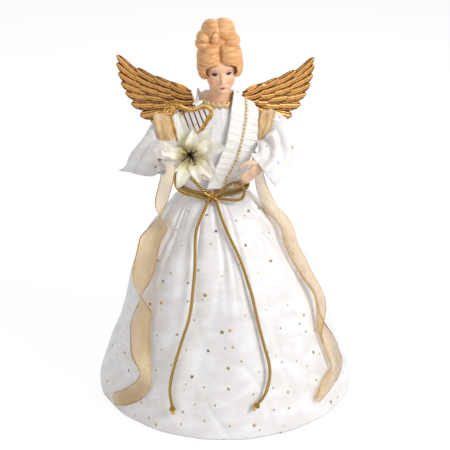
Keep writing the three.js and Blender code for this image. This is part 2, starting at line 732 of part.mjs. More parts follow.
const LEFT_SLEEVE = [
  [5, 0, 0.5, 12, 12, 1], [9, -1, 0, 14, 14, 1], [15, -5, -6, 17, 17, 1], [18, -12, -18, 18, 17, 1],
  [16, -22, -29, 18, 17, 1.05], [11, -33, -36, 17, 16, 1.25], [5, -44, -38, 16, 15, 1.5],
];
const RIGHT_SLEEVE = [
  [5, 0, 0.5, 12, 12, 1], [10, -1, 0, 14, 14, 1], [19, -5, -8, 16, 16, 1], [29, -10, -22, 18, 17, 1],
  [34, -18, -34, 20, 17, 1], [29, -30, -39, 21, 16, 1.1], [20, -42, -38, 20, 15, 1.25],
];

function sleeve(rings, side, sides = 16) {
  const shoulder = shoulderAt(side);
  const scale = ARMHOLE_RADIUS / rings[0][3];
  const wireHole = (WIRE_RADIUS + GAP * 2 + SLEEVE_CLOTH) / scale;
  const stations = [[0, 0, 0, wireHole, wireHole, 1], ...rings];
  const centers = stations.map(([x, y, z]) => shoulder.clone().add(vec(side * x, y, z)));
  const outerRings = stations.map(([, , , halfWidth, halfHeight, droop], i) => {
    const before = centers[Math.max(i - 1, 0)];
    const after = centers[Math.min(i + 1, stations.length - 1)];
    const along = i < 2 ? vec(side, 0, 0) : after.clone().sub(before).normalize();
    const across = UP.clone().cross(along).normalize();
    const up = along.clone().cross(across).normalize();
    return Array.from({ length: sides }, (_, j) => {
      const angle = (j * FULL_TURN) / sides;
      const fold = 1 + (i > 2 ? 0.05 * Math.cos(5 * angle + i) : 0);
      const lower = Math.sin(angle) < 0 ? droop : 1;
      const point = centers[i].clone()
        .addScaledVector(across, scale * halfWidth * fold * Math.cos(angle))
        .addScaledVector(up, scale * halfHeight * fold * lower * Math.sin(angle));
      const inFront = point.y < CHEST_FRONT - GAP * 4;
      point.x = inFront ? point.x : side * Math.max(side * point.x, side * shoulder.x);
      return point;
    });
  });
  const innerRings = outerRings.map((ring, i) => ring.map((point) => (
    point.clone().addScaledVector(centers[i].clone().sub(point).normalize(), SLEEVE_CLOTH)
  )));
  return skinRings([...outerRings, ...innerRings.reverse()], true);
}

addPiece('sleeve_left', sleeve(LEFT_SLEEVE, 1), satin);
addPiece('sleeve_right', sleeve(RIGHT_SLEEVE, -1), satin);

// Arm wires: a straight end that turns in the torso, then down the sleeve to the wrist

const LEFT_WRIST = vec(3, -49, -34);
const RIGHT_WRIST = vec(4, -50, -31);
const LEFT_HAND = { turn: degToRad(200), tilt: degToRad(38) };
const RIGHT_HAND = { turn: degToRad(-38), tilt: 0 };

const handTurned = ({ turn, tilt }) => new THREE.Euler(0, tilt, turn, 'ZYX');
const handAlong = (hand) => vec(1, 0, 0).applyEuler(handTurned(hand));

function armRoute(side, elbow, wristAt, hand) {
  const shoulder = shoulderAt(side);
  const stops = [[1, 0, 0], [8, -1, -2], elbow].map(([x, y, z]) => vec(side * x, y, z).add(shoulder));
  const wrist = vec(side * wristAt.x, wristAt.y, wristAt.z).add(shoulder);
  const start = socketEnd(side).add(vec(side * GAP, 0, 0));
  const middle = start.clone().lerp(shoulder, 0.5);
  const beforeWrist = wrist.clone().addScaledVector(handAlong(hand), -ARM_WIRE_DIAMETER * 2);
  return [start, middle, ...stops, beforeWrist, wrist];
}

const leftArm = armRoute(1, [17, -17, -26], LEFT_WRIST, LEFT_HAND);
const rightArm = armRoute(-1, [31, -21, -34], RIGHT_WRIST, RIGHT_HAND);
addPiece('arm_wire_left', tube(leftArm, ARM_WIRE_DIAMETER, 20, 6), wire);
addPiece('arm_wire_right', tube(rightArm, ARM_WIRE_DIAMETER, 22, 6), wire);

// Hands: a palm, four curled fingers and a thumb, made along +X from the wrist

const HAND_UNIT = HAND_LENGTH / 25;
const onHand = (x, y, z) => vec(x, y, z).multiplyScalar(HAND_UNIT);
const THUMB_KNUCKLE = [13, -5, 8.5];
const FINGER_TIP = [18.5, -9, 0];
const FINGER_RADIUS = 2;

function handForm() {
  const finger = (from, to, sides) => rod(FINGER_RADIUS * HAND_UNIT, onHand(...from), onHand(...to), sides);
  const palm = ellipsoid(onHand(8, 0, 0).toArray(), onHand(8, 4, 6.5).toArray(), 8, 6);
  const fingers = [-4.6, -1.5, 1.6, 4.7].flatMap((z, i) => {
    const reach = FINGER_TIP[0] + 1.5 - Math.abs(i - 1.5);
    return [
      finger([13, 0, z], [reach, -2.5, z], 4),
      finger([reach, -1.5, z], [reach - 1, FINGER_TIP[1], z * 0.9], 4),
    ];
  });
  const thumb = [finger([6, -1, 5], THUMB_KNUCKLE, 5), finger([12.5, -4.5, 8.3], [17, -8.5, 5.5], 5)];
  const cuff = rod(3.6 * HAND_UNIT, onHand(0, 0, 0), onHand(6, 0, 0), 8);
  return join(palm, cuff, ...fingers, ...thumb);
}

function placeHand(name, arm, hand) {
  const mesh = addPiece(name, handForm(), bisque);
  mesh.position.copy(arm[arm.length - 1]).addScaledVector(handAlong(hand), GAP);
  mesh.rotation.copy(handTurned(hand));
  mesh.updateMatrixWorld();
  return mesh;
}

placeHand('hand_left', leftArm, LEFT_HAND);
const rightHand = placeHand('hand_right', rightArm, RIGHT_HAND);

// The corner of a placed piece that lies farthest along a direction
function farthest(mesh, direction) {
  const { position } = mesh.geometry.attributes;
  const corners = Array.from({ length: position.count }, (_, i) => (
    mesh.localToWorld(new THREE.Vector3().fromBufferAttribute(position, i))
  ));
  return corners.reduce((far, next) => (next.dot(direction) > far.dot(direction) ? next : far));
}

const thumbTop = farthest(rightHand, UP);
const fingerFront = farthest(rightHand, vec(0, -1, 0));

// Wings: feathers in three stepped rows, on a barrel that swings on the bracket's pin

const TIP_ROW = [
  [8, 0], [9, 20], [15, 29], [23, 33.5], [32, 35.8], [44, 35.8], [53, 38.3], [65, 43.5], [79, 49],
  [86, 54.5], [90, 60], [92, 62], [92, 57], [91, 47], [88, 41], [88, 33], [84, 26], [83.5, 20], [78, 13.5],
  [76, 7.5], [69, 0], [65, -4], [59, -8], [53, -6], [46, -8], [40, -5], [32, -6], [24, -3], [14, -4],
];
const MIDDLE_ROW = [
  [8, 2], [9, 19], [15.5, 29.5], [23, 34], [32, 36.3], [44, 36.5], [53, 39.5], [66, 47], [70, 49.5], [72, 43],
  [67, 37], [68, 31], [62, 26], [62, 19.5], [55, 15.5], [53, 9], [45, 8.5], [42, 3], [33, 4.5], [26, 1],
  [16, 3],
];
const SHORT_ROW = [
  [8, 5], [9, 19], [15.5, 30], [23, 34.5], [32, 37], [42, 38.5], [50, 42], [51.5, 36], [47, 30], [47, 24],
  [41, 20.5], [39, 15], [31, 15], [26, 10], [17, 11],
];

const HINGE_Y = CHEST_HALF_DEPTH + BODICE_OUTER + GAP + BRACKET_PLATE + BARREL_RADIUS + GAP;
const HINGE_Z = WAIST_HEIGHT + SHOULDER_RISE - HINGE_DROP;
const HINGE_MIDDLE_X = axisX(HINGE_Z) - 1;
const hingeX = (side) => HINGE_MIDDLE_X + (side * HINGE_SPACING) / 2;
const PIN_RADIUS = WING_PIN_DIAMETER / 2;
const BORE_RADIUS = PIN_RADIUS + PIN_CLEARANCE;
const WING_UNIT = WING_SPAN / 92;

// One row of feathers, its outline in span and height, standing upright across the back
function featherRow(outline, front, back) {
  const shape = new THREE.Shape(outline.map(([u, v]) => new THREE.Vector2(u * WING_UNIT, v * WING_UNIT)));
  const row = new THREE.ExtrudeGeometry(shape, { depth: back - front, bevelEnabled: false });
  row.rotateX(Math.PI / 2);
  return row.translate(0, back, 0);
}

function wingForm() {
  const back = WING_THICKNESS / 2;
  const rows = [TIP_ROW, MIDDLE_ROW, SHORT_ROW].map((outline, i) => (
    featherRow(outline, -back - i * FEATHER_STEP, back + i * 0.2)
  ));
  const half = BARREL_LENGTH / 2;
  const barrel = rod(BARREL_RADIUS, vec(0, 0, -half), vec(0, 0, half), 14);
  const arm = box([0, -back, 1], [10 * WING_UNIT, back, half]);
  const bore = rod(BORE_RADIUS, vec(0, 0, -BARREL_LENGTH), vec(0, 0, BARREL_LENGTH), 14);
  return cut(join(...rows, barrel, arm), bore);
}

function addWing(name, side) {
  const form = wingForm();
  if (side < 0) {
    form.scale(-1, 1, 1);
    faceOutwards(form);
  }
  form.rotateZ(side * degToRad(WING_SWEEP));
  const mesh = addPiece(name, form, antiqueGold);
  mesh.position.set(hingeX(side), HINGE_Y, HINGE_Z);
}

addWing('wing_left', 1);
addWing('wing_right', -1);

// Bracket: a plate on the back of the bodice with two ears for each pin

function wingBracket() {
  const half = BARREL_LENGTH / 2 + GAP;
  const plateFront = HINGE_Y - BARREL_RADIUS - GAP - BRACKET_PLATE;
  const plateBack = plateFront + BRACKET_PLATE;
  const reach = EAR_HEIGHT + half;
  const plate = box(
    [hingeX(-1) - BARREL_RADIUS, plateFront, HINGE_Z - reach],
    [hingeX(1) + BARREL_RADIUS, plateBack, HINGE_Z + reach],
  );
  const ears = [-1, 1].flatMap((side) => [-reach, half].map((low) => box(
    [hingeX(side) - BARREL_RADIUS, plateBack - GAP, HINGE_Z + low],
    [hingeX(side) + BARREL_RADIUS, HINGE_Y + BARREL_RADIUS, HINGE_Z + low + EAR_HEIGHT],
  )));
  const bores = [-1, 1].map((side) => rod(
    BORE_RADIUS,
    vec(hingeX(side), HINGE_Y, HINGE_Z - reach * 2),
    vec(hingeX(side), HINGE_Y, HINGE_Z + reach * 2),
    14,
  ));
  return cut(join(plate, ...ears), ...bores);
}

addPiece('wing_bracket', wingBracket(), wire);

function wingPin(side) {
  const reach = BARREL_LENGTH / 2 + GAP + EAR_HEIGHT;
  const at = (z) => vec(hingeX(side), HINGE_Y, HINGE_Z + z);
  const shank = rod(PIN_RADIUS, at(-reach - 1), at(reach + 1), 12);
  const head = rod(BARREL_RADIUS * 0.8, at(reach + GAP), at(reach + GAP + 1.2), 12);
  return join(shank, head);
}

addPiece('wing_pin_left', wingPin(1), wire);
addPiece('wing_pin_right', wingPin(-1), wire);

// Harp: column, curved neck, sound box and strings, one moulding held in the right hand

const HARP_FOOT = -5;

function bar(points, widths) {
  const path = new THREE.SplineCurve(points.map(([x, z]) => new THREE.Vector2(x, z)));
  const steps = points.length * 3;
  const half = HARP_THICKNESS / 2;
  return skinRings(Array.from({ length: steps + 1 }, (_, i) => {
    const share = i / steps;
    const middle = path.getPoint(share);
    const along = path.getTangent(share);
    const wide = lerp(widths[0], widths[1], share) / 2;
    const corner = (sideways, y) => vec(middle.x - along.y * sideways, y, middle.y + along.x * sideways);
    return [corner(-wide, -half), corner(wide, -half), corner(wide, half), corner(-wide, half)];
  }));
}

function harpForm() {
  const neck = bar([[-16, 52], [-8, 53], [0, 49], [8, 47.5], [16, 51], [22, 49], [24, 44]], [4, 4.5]);
  const column = bar([[-16, 52], [-14, 40], [-10, 22], [HARP_FOOT, 0]], [3.6, 4.2]);
  const soundBox = bar([[24, 46], [18, 32], [6, 14], [HARP_FOOT + 1, 0]], [4.5, 8]);
  const scroll = rod(4.6, vec(-15, -HARP_THICKNESS * 0.6, 47), vec(-15, HARP_THICKNESS * 0.6, 47), 14);
  const strings = Array.from({ length: 6 }, (_, i) => {
    const top = lerp(-9, 17, i / 5);
    const foot = lerp(-3, 17, i / 5);
    const footRise = lerp(7, 31, i / 5);
    const half = STRING_WIDTH / 2;
    return skinRings([[top, 50], [foot, footRise]].map(([x, z]) => [
      vec(x - half, -half, z), vec(x + half, -half, z), vec(x + half, half, z), vec(x - half, half, z),
    ]));
  });
  const underFoot = box([-20, -HARP_THICKNESS, -10], [20, HARP_THICKNESS, 0]);
  return cut(join(neck, column, soundBox, scroll, ...strings), underFoot);
}

const harp = addPiece('harp', harpForm(), antiqueGold);
harp.position.copy(thumbTop).add(vec(-HARP_FOOT, 0, GAP));

// Poinsettia: two whorls of pointed petals and a bunch of stamens, facing the front.
// Each petal has its angle, counted from +X towards +Z, and its share of the full length.

const FLOWER_FROM_FINGERS = vec(7.3, -8.6, 22);
const FLOWER_CENTER = fingerFront.clone().add(FLOWER_FROM_FINGERS);
const DISC_BACK = 1;
const DISC_FRONT = 1.6;
const WHORL_STEP = DISC_BACK + DISC_FRONT + GAP;
const OUTER_PETALS = [
  [104, 1], [54, 0.82], [14, 0.78], [-46, 0.77], [-106, 0.82], [-152, 0.68], [170, 0.75],
];
const INNER_PETALS = [[80, 1], [140, 0.88], [212, 0.85], [-78, 1], [-18, 0.9]];

function petal(length, halfWidth, turn, cup) {
  const stations = [[0, 0.14], [0.2, 0.55], [0.45, 1], [0.75, 0.7], [1, 0.03]];
  const form = skinRings(stations.map(([share, wide]) => {
    const reach = 3 + share * (length - 3);
    const lift = -cup * share * share;
    const half = halfWidth * wide;
    const fold = half * 0.12;
    return [
      vec(reach, lift - fold, -half), vec(reach, lift + PETAL_THICKNESS, 0),
      vec(reach, lift - fold, half), vec(reach, lift - PETAL_THICKNESS, 0),
    ];
  }));
  return form.rotateY(-turn);
}

function whorl(petals, length, halfWidth, cup) {
  const disc = rod(4.5, vec(0, -DISC_FRONT, 0), vec(0, DISC_BACK, 0), 12);
  const forms = petals.map(([angle, share]) => petal(length * share, halfWidth, degToRad(angle), cup));
  return join(disc, ...forms);
}

const outerPetals = addPiece(
  'flower_outer_petals', whorl(OUTER_PETALS, PETAL_LENGTH, PETAL_HALF_WIDTH, 6), silkPetal,
);
outerPetals.position.copy(FLOWER_CENTER);
const innerPetals = addPiece(
  'flower_inner_petals', whorl(INNER_PETALS, INNER_PETAL_LENGTH, PETAL_HALF_WIDTH * 0.75, 6), silkPetal,
);
innerPetals.position.copy(FLOWER_CENTER).add(vec(0, -WHORL_STEP, 0));

function stamenBunch() {
  const base = rod(3.4, vec(0, 0, 0), vec(0, -1.5, 0), 10);
  const stalks = Array.from({ length: 9 }, (_, i) => {
    const angle = (i * FULL_TURN) / 9;
    const spread = i % 2 ? 1.6 : 2.6;
    const foot = vec(spread * Math.cos(angle), -0.5, spread * Math.sin(angle));
    const tip = vec(spread * 2.1 * Math.cos(angle), -STAMEN_LENGTH, spread * 2.1 * Math.sin(angle));
    return rod(0.7, foot, tip, 5);
  });
  return join(base, ...stalks);
}

const stamens = addPiece('flower_stamens', stamenBunch(), stamenGold);
stamens.position.copy(innerPetals.position).add(vec(0, -DISC_FRONT - GAP, 0));

const stemTop = FLOWER_CENTER.clone().add(vec(0, DISC_BACK + GAP, 0));
const stemY = fingerFront.y - STEM_DIAMETER / 2 - GAP;
addPiece('flower_stem', tube([
  stemTop,
  stemTop.clone().add(vec(0, STEM_DIAMETER, 0)),
  vec(fingerFront.x + 1, stemY, thumbTop.z + 1),
  vec(fingerFront.x, stemY, fingerFront.z),
  vec(fingerFront.x - 1, stemY, fingerFront.z - 18),
], STEM_DIAMETER, 12, 6), stamenGold);

export default topper;
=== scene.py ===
# %% [markdown]
# # Angel tree topper
# A doll figure with gold wings stands on a card cone that slips over the tip of a tree.
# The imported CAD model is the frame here: it fixes every size, place and joint. This lesson
# dresses it, piece by piece, in satin, organza, lace, painted bisque and antique gold.

# %% Load the frame
import json
import math
import bpy
from mathutils import Matrix, Vector, noise

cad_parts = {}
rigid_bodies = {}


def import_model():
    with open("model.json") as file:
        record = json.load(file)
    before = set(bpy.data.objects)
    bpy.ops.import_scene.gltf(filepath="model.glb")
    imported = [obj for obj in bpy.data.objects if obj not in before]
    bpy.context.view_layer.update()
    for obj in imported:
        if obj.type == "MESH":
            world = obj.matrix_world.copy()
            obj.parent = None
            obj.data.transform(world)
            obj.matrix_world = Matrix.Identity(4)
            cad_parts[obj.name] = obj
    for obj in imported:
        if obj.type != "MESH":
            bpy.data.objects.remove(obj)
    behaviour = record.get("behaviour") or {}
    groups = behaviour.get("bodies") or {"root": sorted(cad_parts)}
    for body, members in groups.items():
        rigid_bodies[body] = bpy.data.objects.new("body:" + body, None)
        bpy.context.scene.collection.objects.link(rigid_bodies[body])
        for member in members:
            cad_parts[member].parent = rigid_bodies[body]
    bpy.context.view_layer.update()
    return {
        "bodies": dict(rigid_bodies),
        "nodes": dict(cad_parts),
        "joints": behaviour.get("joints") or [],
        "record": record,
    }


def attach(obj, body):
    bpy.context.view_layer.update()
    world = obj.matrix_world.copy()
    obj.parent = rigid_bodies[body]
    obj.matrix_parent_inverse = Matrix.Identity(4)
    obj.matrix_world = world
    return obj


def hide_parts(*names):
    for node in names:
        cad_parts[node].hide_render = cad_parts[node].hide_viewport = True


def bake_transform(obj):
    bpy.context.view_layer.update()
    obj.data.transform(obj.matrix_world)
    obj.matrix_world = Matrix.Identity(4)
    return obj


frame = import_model()
MM = 0.001
TURN = 2 * math.pi

# %% [markdown]
# ## Camera
# The topper is seen from the front and a little above, through a long lens, so that the hem
# shows as a shallow curve. A camera could be aimed with a constraint, but plain numbers
# keep the view the same each time.

# %% Camera
PITCH_DOWN = math.radians(23.196)
CAMERA_PLACE = (0, -1.2, 0.694)
FILM_WIDTH, FOCAL_LENGTH = 36, 97.31
bpy.ops.object.camera_add(location=CAMERA_PLACE, rotation=(math.pi / 2 - PITCH_DOWN, 0, 0))
camera = bpy.context.object
camera.data.sensor_width = FILM_WIDTH
camera.data.lens = FOCAL_LENGTH
scene = bpy.context.scene
scene.camera = camera
scene.view_settings.view_transform = "Standard"
print("camera looks down by", round(math.degrees(PITCH_DOWN), 1), "degrees")

# %% [markdown]
# ## Shader arithmetic
# Most finishes here are small formulas: a star is a circle whose edge wobbles five times a
# turn. Nodes for that are tedious to wire by hand, so one class wraps a socket and turns
# Python's operators into Math nodes, and one method adds any other node.

# %% A value that adds Math nodes
def operator(name, swapped=False):
    """A method that adds one Math node. Swapped puts the other value first."""
    def apply(value, other=0.0):
        first, second = (other, value) if swapped else (value, other)
        return value.math(name, first, second)
    return apply


class Value:
    def __init__(self, finish, socket):
        self.finish = finish
        self.socket = socket

    def out(self, name):
        return Value(self.finish, self.socket.node.outputs[name])

    def math(self, operation, first, second, clamp=False):
        settings = {"operation": operation, "use_clamp": clamp}
        return self.finish.node("ShaderNodeMath", settings, {0: first, 1: second})

    __add__ = operator("ADD")
    __sub__ = operator("SUBTRACT")
    __rsub__ = operator("SUBTRACT", swapped=True)
    __mul__ = operator("MULTIPLY")
    __truediv__ = operator("DIVIDE")
    __pow__ = operator("POWER")
    __radd__ = __add__
    __rmul__ = __mul__
    sine = operator("SINE")
    size = operator("ABSOLUTE")
    wrap = operator("FRACT")
    larger = operator("MAXIMUM")

    def held(self):
        """The value, kept from 0 to 1."""
        return self.math("ADD", self, 0.0, clamp=True)

    def ramp(self, low, high):
        """0 below low, 1 above high, and a smooth step between them."""
        return self.finish.node("ShaderNodeMapRange", {"interpolation_type": "SMOOTHSTEP"},
                                {"Value": self, "From Min": low, "From Max": high})


# %% A finish that adds the other nodes
class Finish:
    def __init__(self, name, block=None):
        self.material = block or bpy.data.materials.new(name)
        self.material.use_nodes = True
        self.tree = self.material.node_tree
        self.tree.nodes.clear()

    def node(self, kind, settings=None, inputs=None, output=0):
        made = self.tree.nodes.new(kind)
        for key, value in (settings or {}).items():
            setattr(made, key, value)
        for key, value in (inputs or {}).items():
            if isinstance(value, Value):
                self.tree.links.new(value.socket, made.inputs[key])
            else:
                made.inputs[key].default_value = value
        return Value(self, made.outputs[output]) if made.outputs else None

    def coordinates(self, kind):
        return self.node("ShaderNodeTexCoord", output=kind)

    def split(self, vector):
        parts = self.node("ShaderNodeSeparateXYZ", inputs={0: vector})
        return parts, parts.out("Y"), parts.out("Z")

    def noise(self, vector, scale, detail):
        return self.node("ShaderNodeTexNoise", inputs={"Vector": vector, "Scale": scale, "Detail": detail})

    def mapped(self, vector, **places):
        return self.node("ShaderNodeMapping", inputs={"Vector": vector, **places})

    def mix(self, share, first, second):
        """A blend of two colours: they are the node's inputs 6 and 7, and output 2 is the blend."""
        return self.node("ShaderNodeMix", {"data_type": "RGBA"}, {0: share, 6: first, 7: second}, output=2)

    def bump(self, height, distance, strength):
        return self.node("ShaderNodeBump",
                         inputs={"Height": height, "Distance": distance, "Strength": strength})

    def surface(self, inputs):
        shader = self.node("ShaderNodeBsdfPrincipled", inputs=inputs)
        self.node("ShaderNodeOutputMaterial", inputs={"Surface": shader})
        return self.material


def rgb(red, green, blue):
    """A screen colour in linear light, as shaders take it."""
    def linear(value):
        share = value / 255
        return share / 12.92 if share <= 0.04045 else ((share + 0.055) / 1.055) ** 2.4
    return (linear(red), linear(green), linear(blue), 1.0)


print("mid grey in linear light is", [round(value, 3) for value in rgb(128, 128, 128)])

# %% [markdown]
# ## Light and floor
# The product stands in soft, bright light from the right, on white. A key lamp gives that, with
# a weak fill, a rim lamp behind and a pale world. The floor is white for the camera, yet
# part of it still takes light, so that the hem keeps its faint shadow.

# %% Lamps
def soft_lamp(name, place, aim, size, power):
    data = bpy.data.lights.new(name, "AREA")
    data.size = size
    data.energy = power
    lamp = bpy.data.objects.new(name, data)
    scene.collection.objects.link(lamp)
    lamp.location = place
    lamp.rotation_euler = (Vector(aim) - Vector(place)).to_track_quat("-Z", "Y").to_euler()


BODY_MIDDLE = (0, 0, 0.2)
soft_lamp("key_lamp", (1.0, -0.75, 1.1), BODY_MIDDLE, 0.6, 15.0)
soft_lamp("fill_lamp", (-1.3, -1.0, 0.9), BODY_MIDDLE, 1.2, 4.0)
soft_lamp("rim_lamp", (0.2, 1.2, 1.2), BODY_MIDDLE, 0.8, 6.0)
print("lamps:", [lamp.name for lamp in bpy.data.lights])

# %% World and floor
WORLD_LIGHT, OWN_GLOW, SHADOW_SHARE = 0.42, 0.86, 0.2
FLOOR_WHITE, FLOOR_WIDTH, FLOOR_Z = 0.85, 9, -0.0004


def seen_directly(f):
    """1 for rays from the camera and for what metal and sheer cloth show of the studio."""
    ray = f.node("ShaderNodeLightPath", output="Is Camera Ray")
    return ray.larger(ray.out("Is Glossy Ray")).larger(ray.out("Is Transmission Ray"))


scene.world = scene.world or bpy.data.worlds.new("studio")
air = Finish("studio", scene.world)
glow = seen_directly(air) * (1 - WORLD_LIGHT) + WORLD_LIGHT
sky = air.node("ShaderNodeBackground", inputs={"Color": (1, 1, 1, 1), "Strength": glow})
air.node("ShaderNodeOutputWorld", inputs={"Surface": sky})

white = Finish("floor_white")
plain = white.node("ShaderNodeBsdfDiffuse", inputs={"Color": (FLOOR_WHITE,) * 3 + (1,)})
shadowed = white.node("ShaderNodeBsdfDiffuse", inputs={"Color": (SHADOW_SHARE,) * 3 + (1,)})
glowing = white.node("ShaderNodeEmission", inputs={"Strength": OWN_GLOW})
both = white.node("ShaderNodeAddShader", inputs={0: shadowed, 1: glowing})
shown = white.node("ShaderNodeMixShader", inputs={0: seen_directly(white), 1: plain, 2: both})
white.node("ShaderNodeOutputMaterial", inputs={"Surface": shown})
bpy.ops.object.select_all(action="DESELECT")
bpy.ops.mesh.primitive_plane_add(size=FLOOR_WIDTH, location=(0, 0, FLOOR_Z))
floor = bpy.context.object
floor.name = "floor"
floor.data.materials.append(white.material)
print("floor is", floor.dimensions.x, "m wide")

# %% [markdown]
# ## Cloth and cord finishes
# The dress is white satin printed with small gold foil stars and a few moons. Most cells of a
# Voronoi pattern on the flat cloth hold one of them, turned and sized at random. A picture
# would be quicker, but a formula stays sharp at any distance and follows the cut of the cloth.

# %% Satin with foil stars
STAR_POINTS, STAR_NOTCH = 5, 0.6
SMALLEST_STAR, STAR_GROWTH, FOIL_EDGE = 1.35 * MM, 1.3 * MM, 0.25 * MM
MOON_RADIUS, MOON_BITE, MOON_SHIFT = 1.5 * MM, 1.2 * MM, 0.7 * MM
EMPTY_BELOW, MOON_ABOVE = 0.12, 0.93
SATIN = rgb(247, 246, 247)
# Darker satin, used as painted shade in the hollows of the crumple
SATIN_PAINTED_SHADE = rgb(235, 231, 230)


def foil_satin(name, cell):
    f = Finish(name)
    flat = f.coordinates("UV")
    cells = f.node("ShaderNodeTexVoronoi", {"voronoi_dimensions": "2D"},
                   {"Vector": flat, "Scale": 1 / cell, "Randomness": 0.9}, output="Position")
    away = f.node("ShaderNodeVectorMath", {"operation": "SUBTRACT"}, {0: flat, 1: cells})
    x, y, _ = f.split(away)
    turn, extent, luck = f.split(cells.out("Color"))
    angle = x.math("ARCTAN2", y, x) + turn * TURN
    reach = (x * x + y * y) ** 0.5
    between = x.math("PINGPONG", angle * (STAR_POINTS / TURN), 0.5) * 2
    radius = extent * extent * STAR_GROWTH + SMALLEST_STAR
    star = ((radius * (1 - between * STAR_NOTCH) - reach) / FOIL_EDGE).held()
    bitten = ((x - MOON_SHIFT) * (x - MOON_SHIFT) + y * y) ** 0.5
    moon = ((MOON_RADIUS - reach) / FOIL_EDGE).held() * ((bitten - MOON_BITE) / FOIL_EDGE).held()
    is_moon = x.math("GREATER_THAN", luck, MOON_ABOVE)
    printed = x.math("GREATER_THAN", luck, EMPTY_BELOW)
    foil = (star * (1 - is_moon) + moon * is_moon) * printed
    weave = f.noise(f.mapped(flat, Scale=(900, 2600, 1)), 1.0, 1.0)
    crumple = f.noise(f.mapped(flat, Scale=(34, 60, 1)), 1.0, 5.0)
    # Painted shade: where the crumple sinks, the satin is mixed towards the darker colour
    cloth = f.mix(crumple.ramp(0.35, 0.7), SATIN_PAINTED_SHADE, SATIN)
    gold = f.mix(turn, rgb(84, 68, 38), rgb(214, 178, 98))
    height = crumple * 1.6 + weave * 0.05 + foil * 0.03
    return f.surface({
        "Base Color": f.mix(foil, cloth, gold),
        "Metallic": foil * 0.5,
        "Roughness": 0.4 - foil * 0.1,
        "Sheen Weight": 0.2,
        "Sheen Roughness": 0.4,
        "Normal": f.bump(height, 0.8 * MM, 0.45),
    })


satin = foil_satin("satin_with_foil_stars", 20 * MM)
print("made", satin.name)

# %% [markdown]
# The ribbons are champagne organza, sheer enough to show the stars through, with a wire woven
# into each edge. The piece's own map runs across the ribbon from 0 to 1, so the edge
# is a band at both ends of it, and fine lines along the length are the weave.

# %% Organza with wired edges
def organza_finish(name, sheer, edge, low, high):
    f = Finish(name)
    across, along, _ = f.split(f.coordinates("UV"))
    from_edge = 0.5 - (across - 0.5).size()
    wired = 1 - from_edge.ramp(edge * 0.5, edge)
    cloudy = f.noise(f.mapped(f.coordinates("Object"), Scale=(60, 60, 25)), 1.0, 4.0)
    thread = f.noise(f.node("ShaderNodeCombineXYZ", inputs={0: across * 90, 1: along * 60}), 1.0, 1.0)
    sheen = f.mix(cloudy.ramp(0.3, 0.7), low, high)
    return f.surface({
        "Base Color": f.mix(wired, sheen, rgb(178, 140, 78)),
        "Metallic": wired * 0.3,
        "Roughness": 0.5 - wired * 0.1,
        "Alpha": (sheer + wired * (0.95 - sheer) + (thread - 0.5) * 0.12).held(),
        "Sheen Weight": 0.15,
        "Normal": f.bump(thread * 0.4 + cloudy, 0.4 * MM, 0.5),
    })


organza = organza_finish("organza_with_wired_edges", 0.36, 0.07, rgb(214, 176, 104), rgb(240, 208, 144))
sash_organza = organza_finish("organza_layers", 0.8, 0.03, rgb(220, 180, 122), rgb(246, 216, 166))
print("made", organza.name, "and", sash_organza.name)

# %% [markdown]
# The cord is three strands of metal thread laid round each other. Its map runs round the cord
# with the twist, so the grooves between the strands are always at the same three places,
# and painted shade darkens them there.

# %% Gold cord
STRANDS = 3


def cord_finish():
    f = Finish("gold_cord_strands")
    along, around, _ = f.split(f.coordinates("UV"))
    place = ((around * STRANDS + 0.5).wrap() - 0.5).size() * 2
    fibres = f.noise(f.node("ShaderNodeCombineXYZ", inputs={0: along * 500, 1: around * 46}), 1.0, 2.0)
    # Painted shade darkens the three grooves between the strands; the fibres vary the rest
    lit = (1 - place.ramp(0.15, 0.7)) * (fibres.ramp(0.25, 0.75) * 0.3 + 0.7)
    return f.surface({
        "Base Color": f.mix(lit, rgb(48, 27, 5), rgb(246, 202, 104)),
        "Metallic": 0.5,
        "Roughness": 0.5 - lit * 0.16,
        "Normal": f.bump(fibres, 0.12 * MM, 0.8),
    })


cord_gold = cord_finish()
print("made", cord_gold.name)

# %% [markdown]
# The wings, harp, star and braid are plastic and metal under antique gold paint: bright where
# fingers would rub it, brown where the wash settled. The piece's map holds that:
# its first number is 0 in the hollows and 1 on the crests.

# %% Antique gold
def antique_finish(name, dark, bright, rough, barbs=0.0, ridged=0.0):
    f = Finish(name)
    crest, along, _ = f.split(f.coordinates("UV"))
    place = f.coordinates("Object")
    mottled = f.noise(place, 260.0, 5.0)
    grain = f.noise(place, 1700.0, 2.0)
    lines = (along * barbs).sine()
    rubbed = (crest * 0.85 + (mottled - 0.5) * 0.7 + (grain - 0.5) * 0.3 + lines * ridged).ramp(0.14, 0.8)
    return f.surface({
        "Base Color": f.mix(rubbed, dark, bright),
        "Metallic": 0.5,
        "Roughness": rough + 0.2 - rubbed * 0.2,
        "Normal": f.bump(mottled * 0.8 + grain * 0.5 + lines * 0.35, 0.35 * MM, 0.8),
    })


wing_gold = antique_finish("antique_gold_wing", rgb(66, 32, 6), rgb(230, 168, 92), 0.34, TURN / 2.6, 0.24)
harp_gold = antique_finish("antique_gold_harp", rgb(76, 42, 8), rgb(228, 178, 94), 0.3)
braid_gold = antique_finish("gold_braid", rgb(190, 160, 96), rgb(250, 240, 212), 0.34)
print("made", wing_gold.name, harp_gold.name, "and", braid_gold.name)

# %% [markdown]
# ## Shape of the body
# Cloth, cords and trimmings all lie on the same body, so its shape is written once, in
# millimetres, with the numbers of the CAD model: the skirt's bell, and the torso's
# half width and half depth at each height above the waist.

# %% Skirt bell and torso
HEM_RADIUS, WAIST, WAIST_SHIFT, NECK_SHIFT, TORSO_HEIGHT = 142, 226, -12, -5, 92
SKIRT_TOP, SKIRT_TOP_RADIUS, BELL_SMOOTHING = 221, 33.9, 0.03
# Each row: share of the skirt's height, share of its flare
SKIRT_BELL = [(0, 1), (0.136, 0.907), (0.28, 0.81), (0.434, 0.722), (0.588, 0.648),
              (0.715, 0.528), (0.824, 0.361), (0.905, 0.218), (0.959, 0.107), (1, 0)]
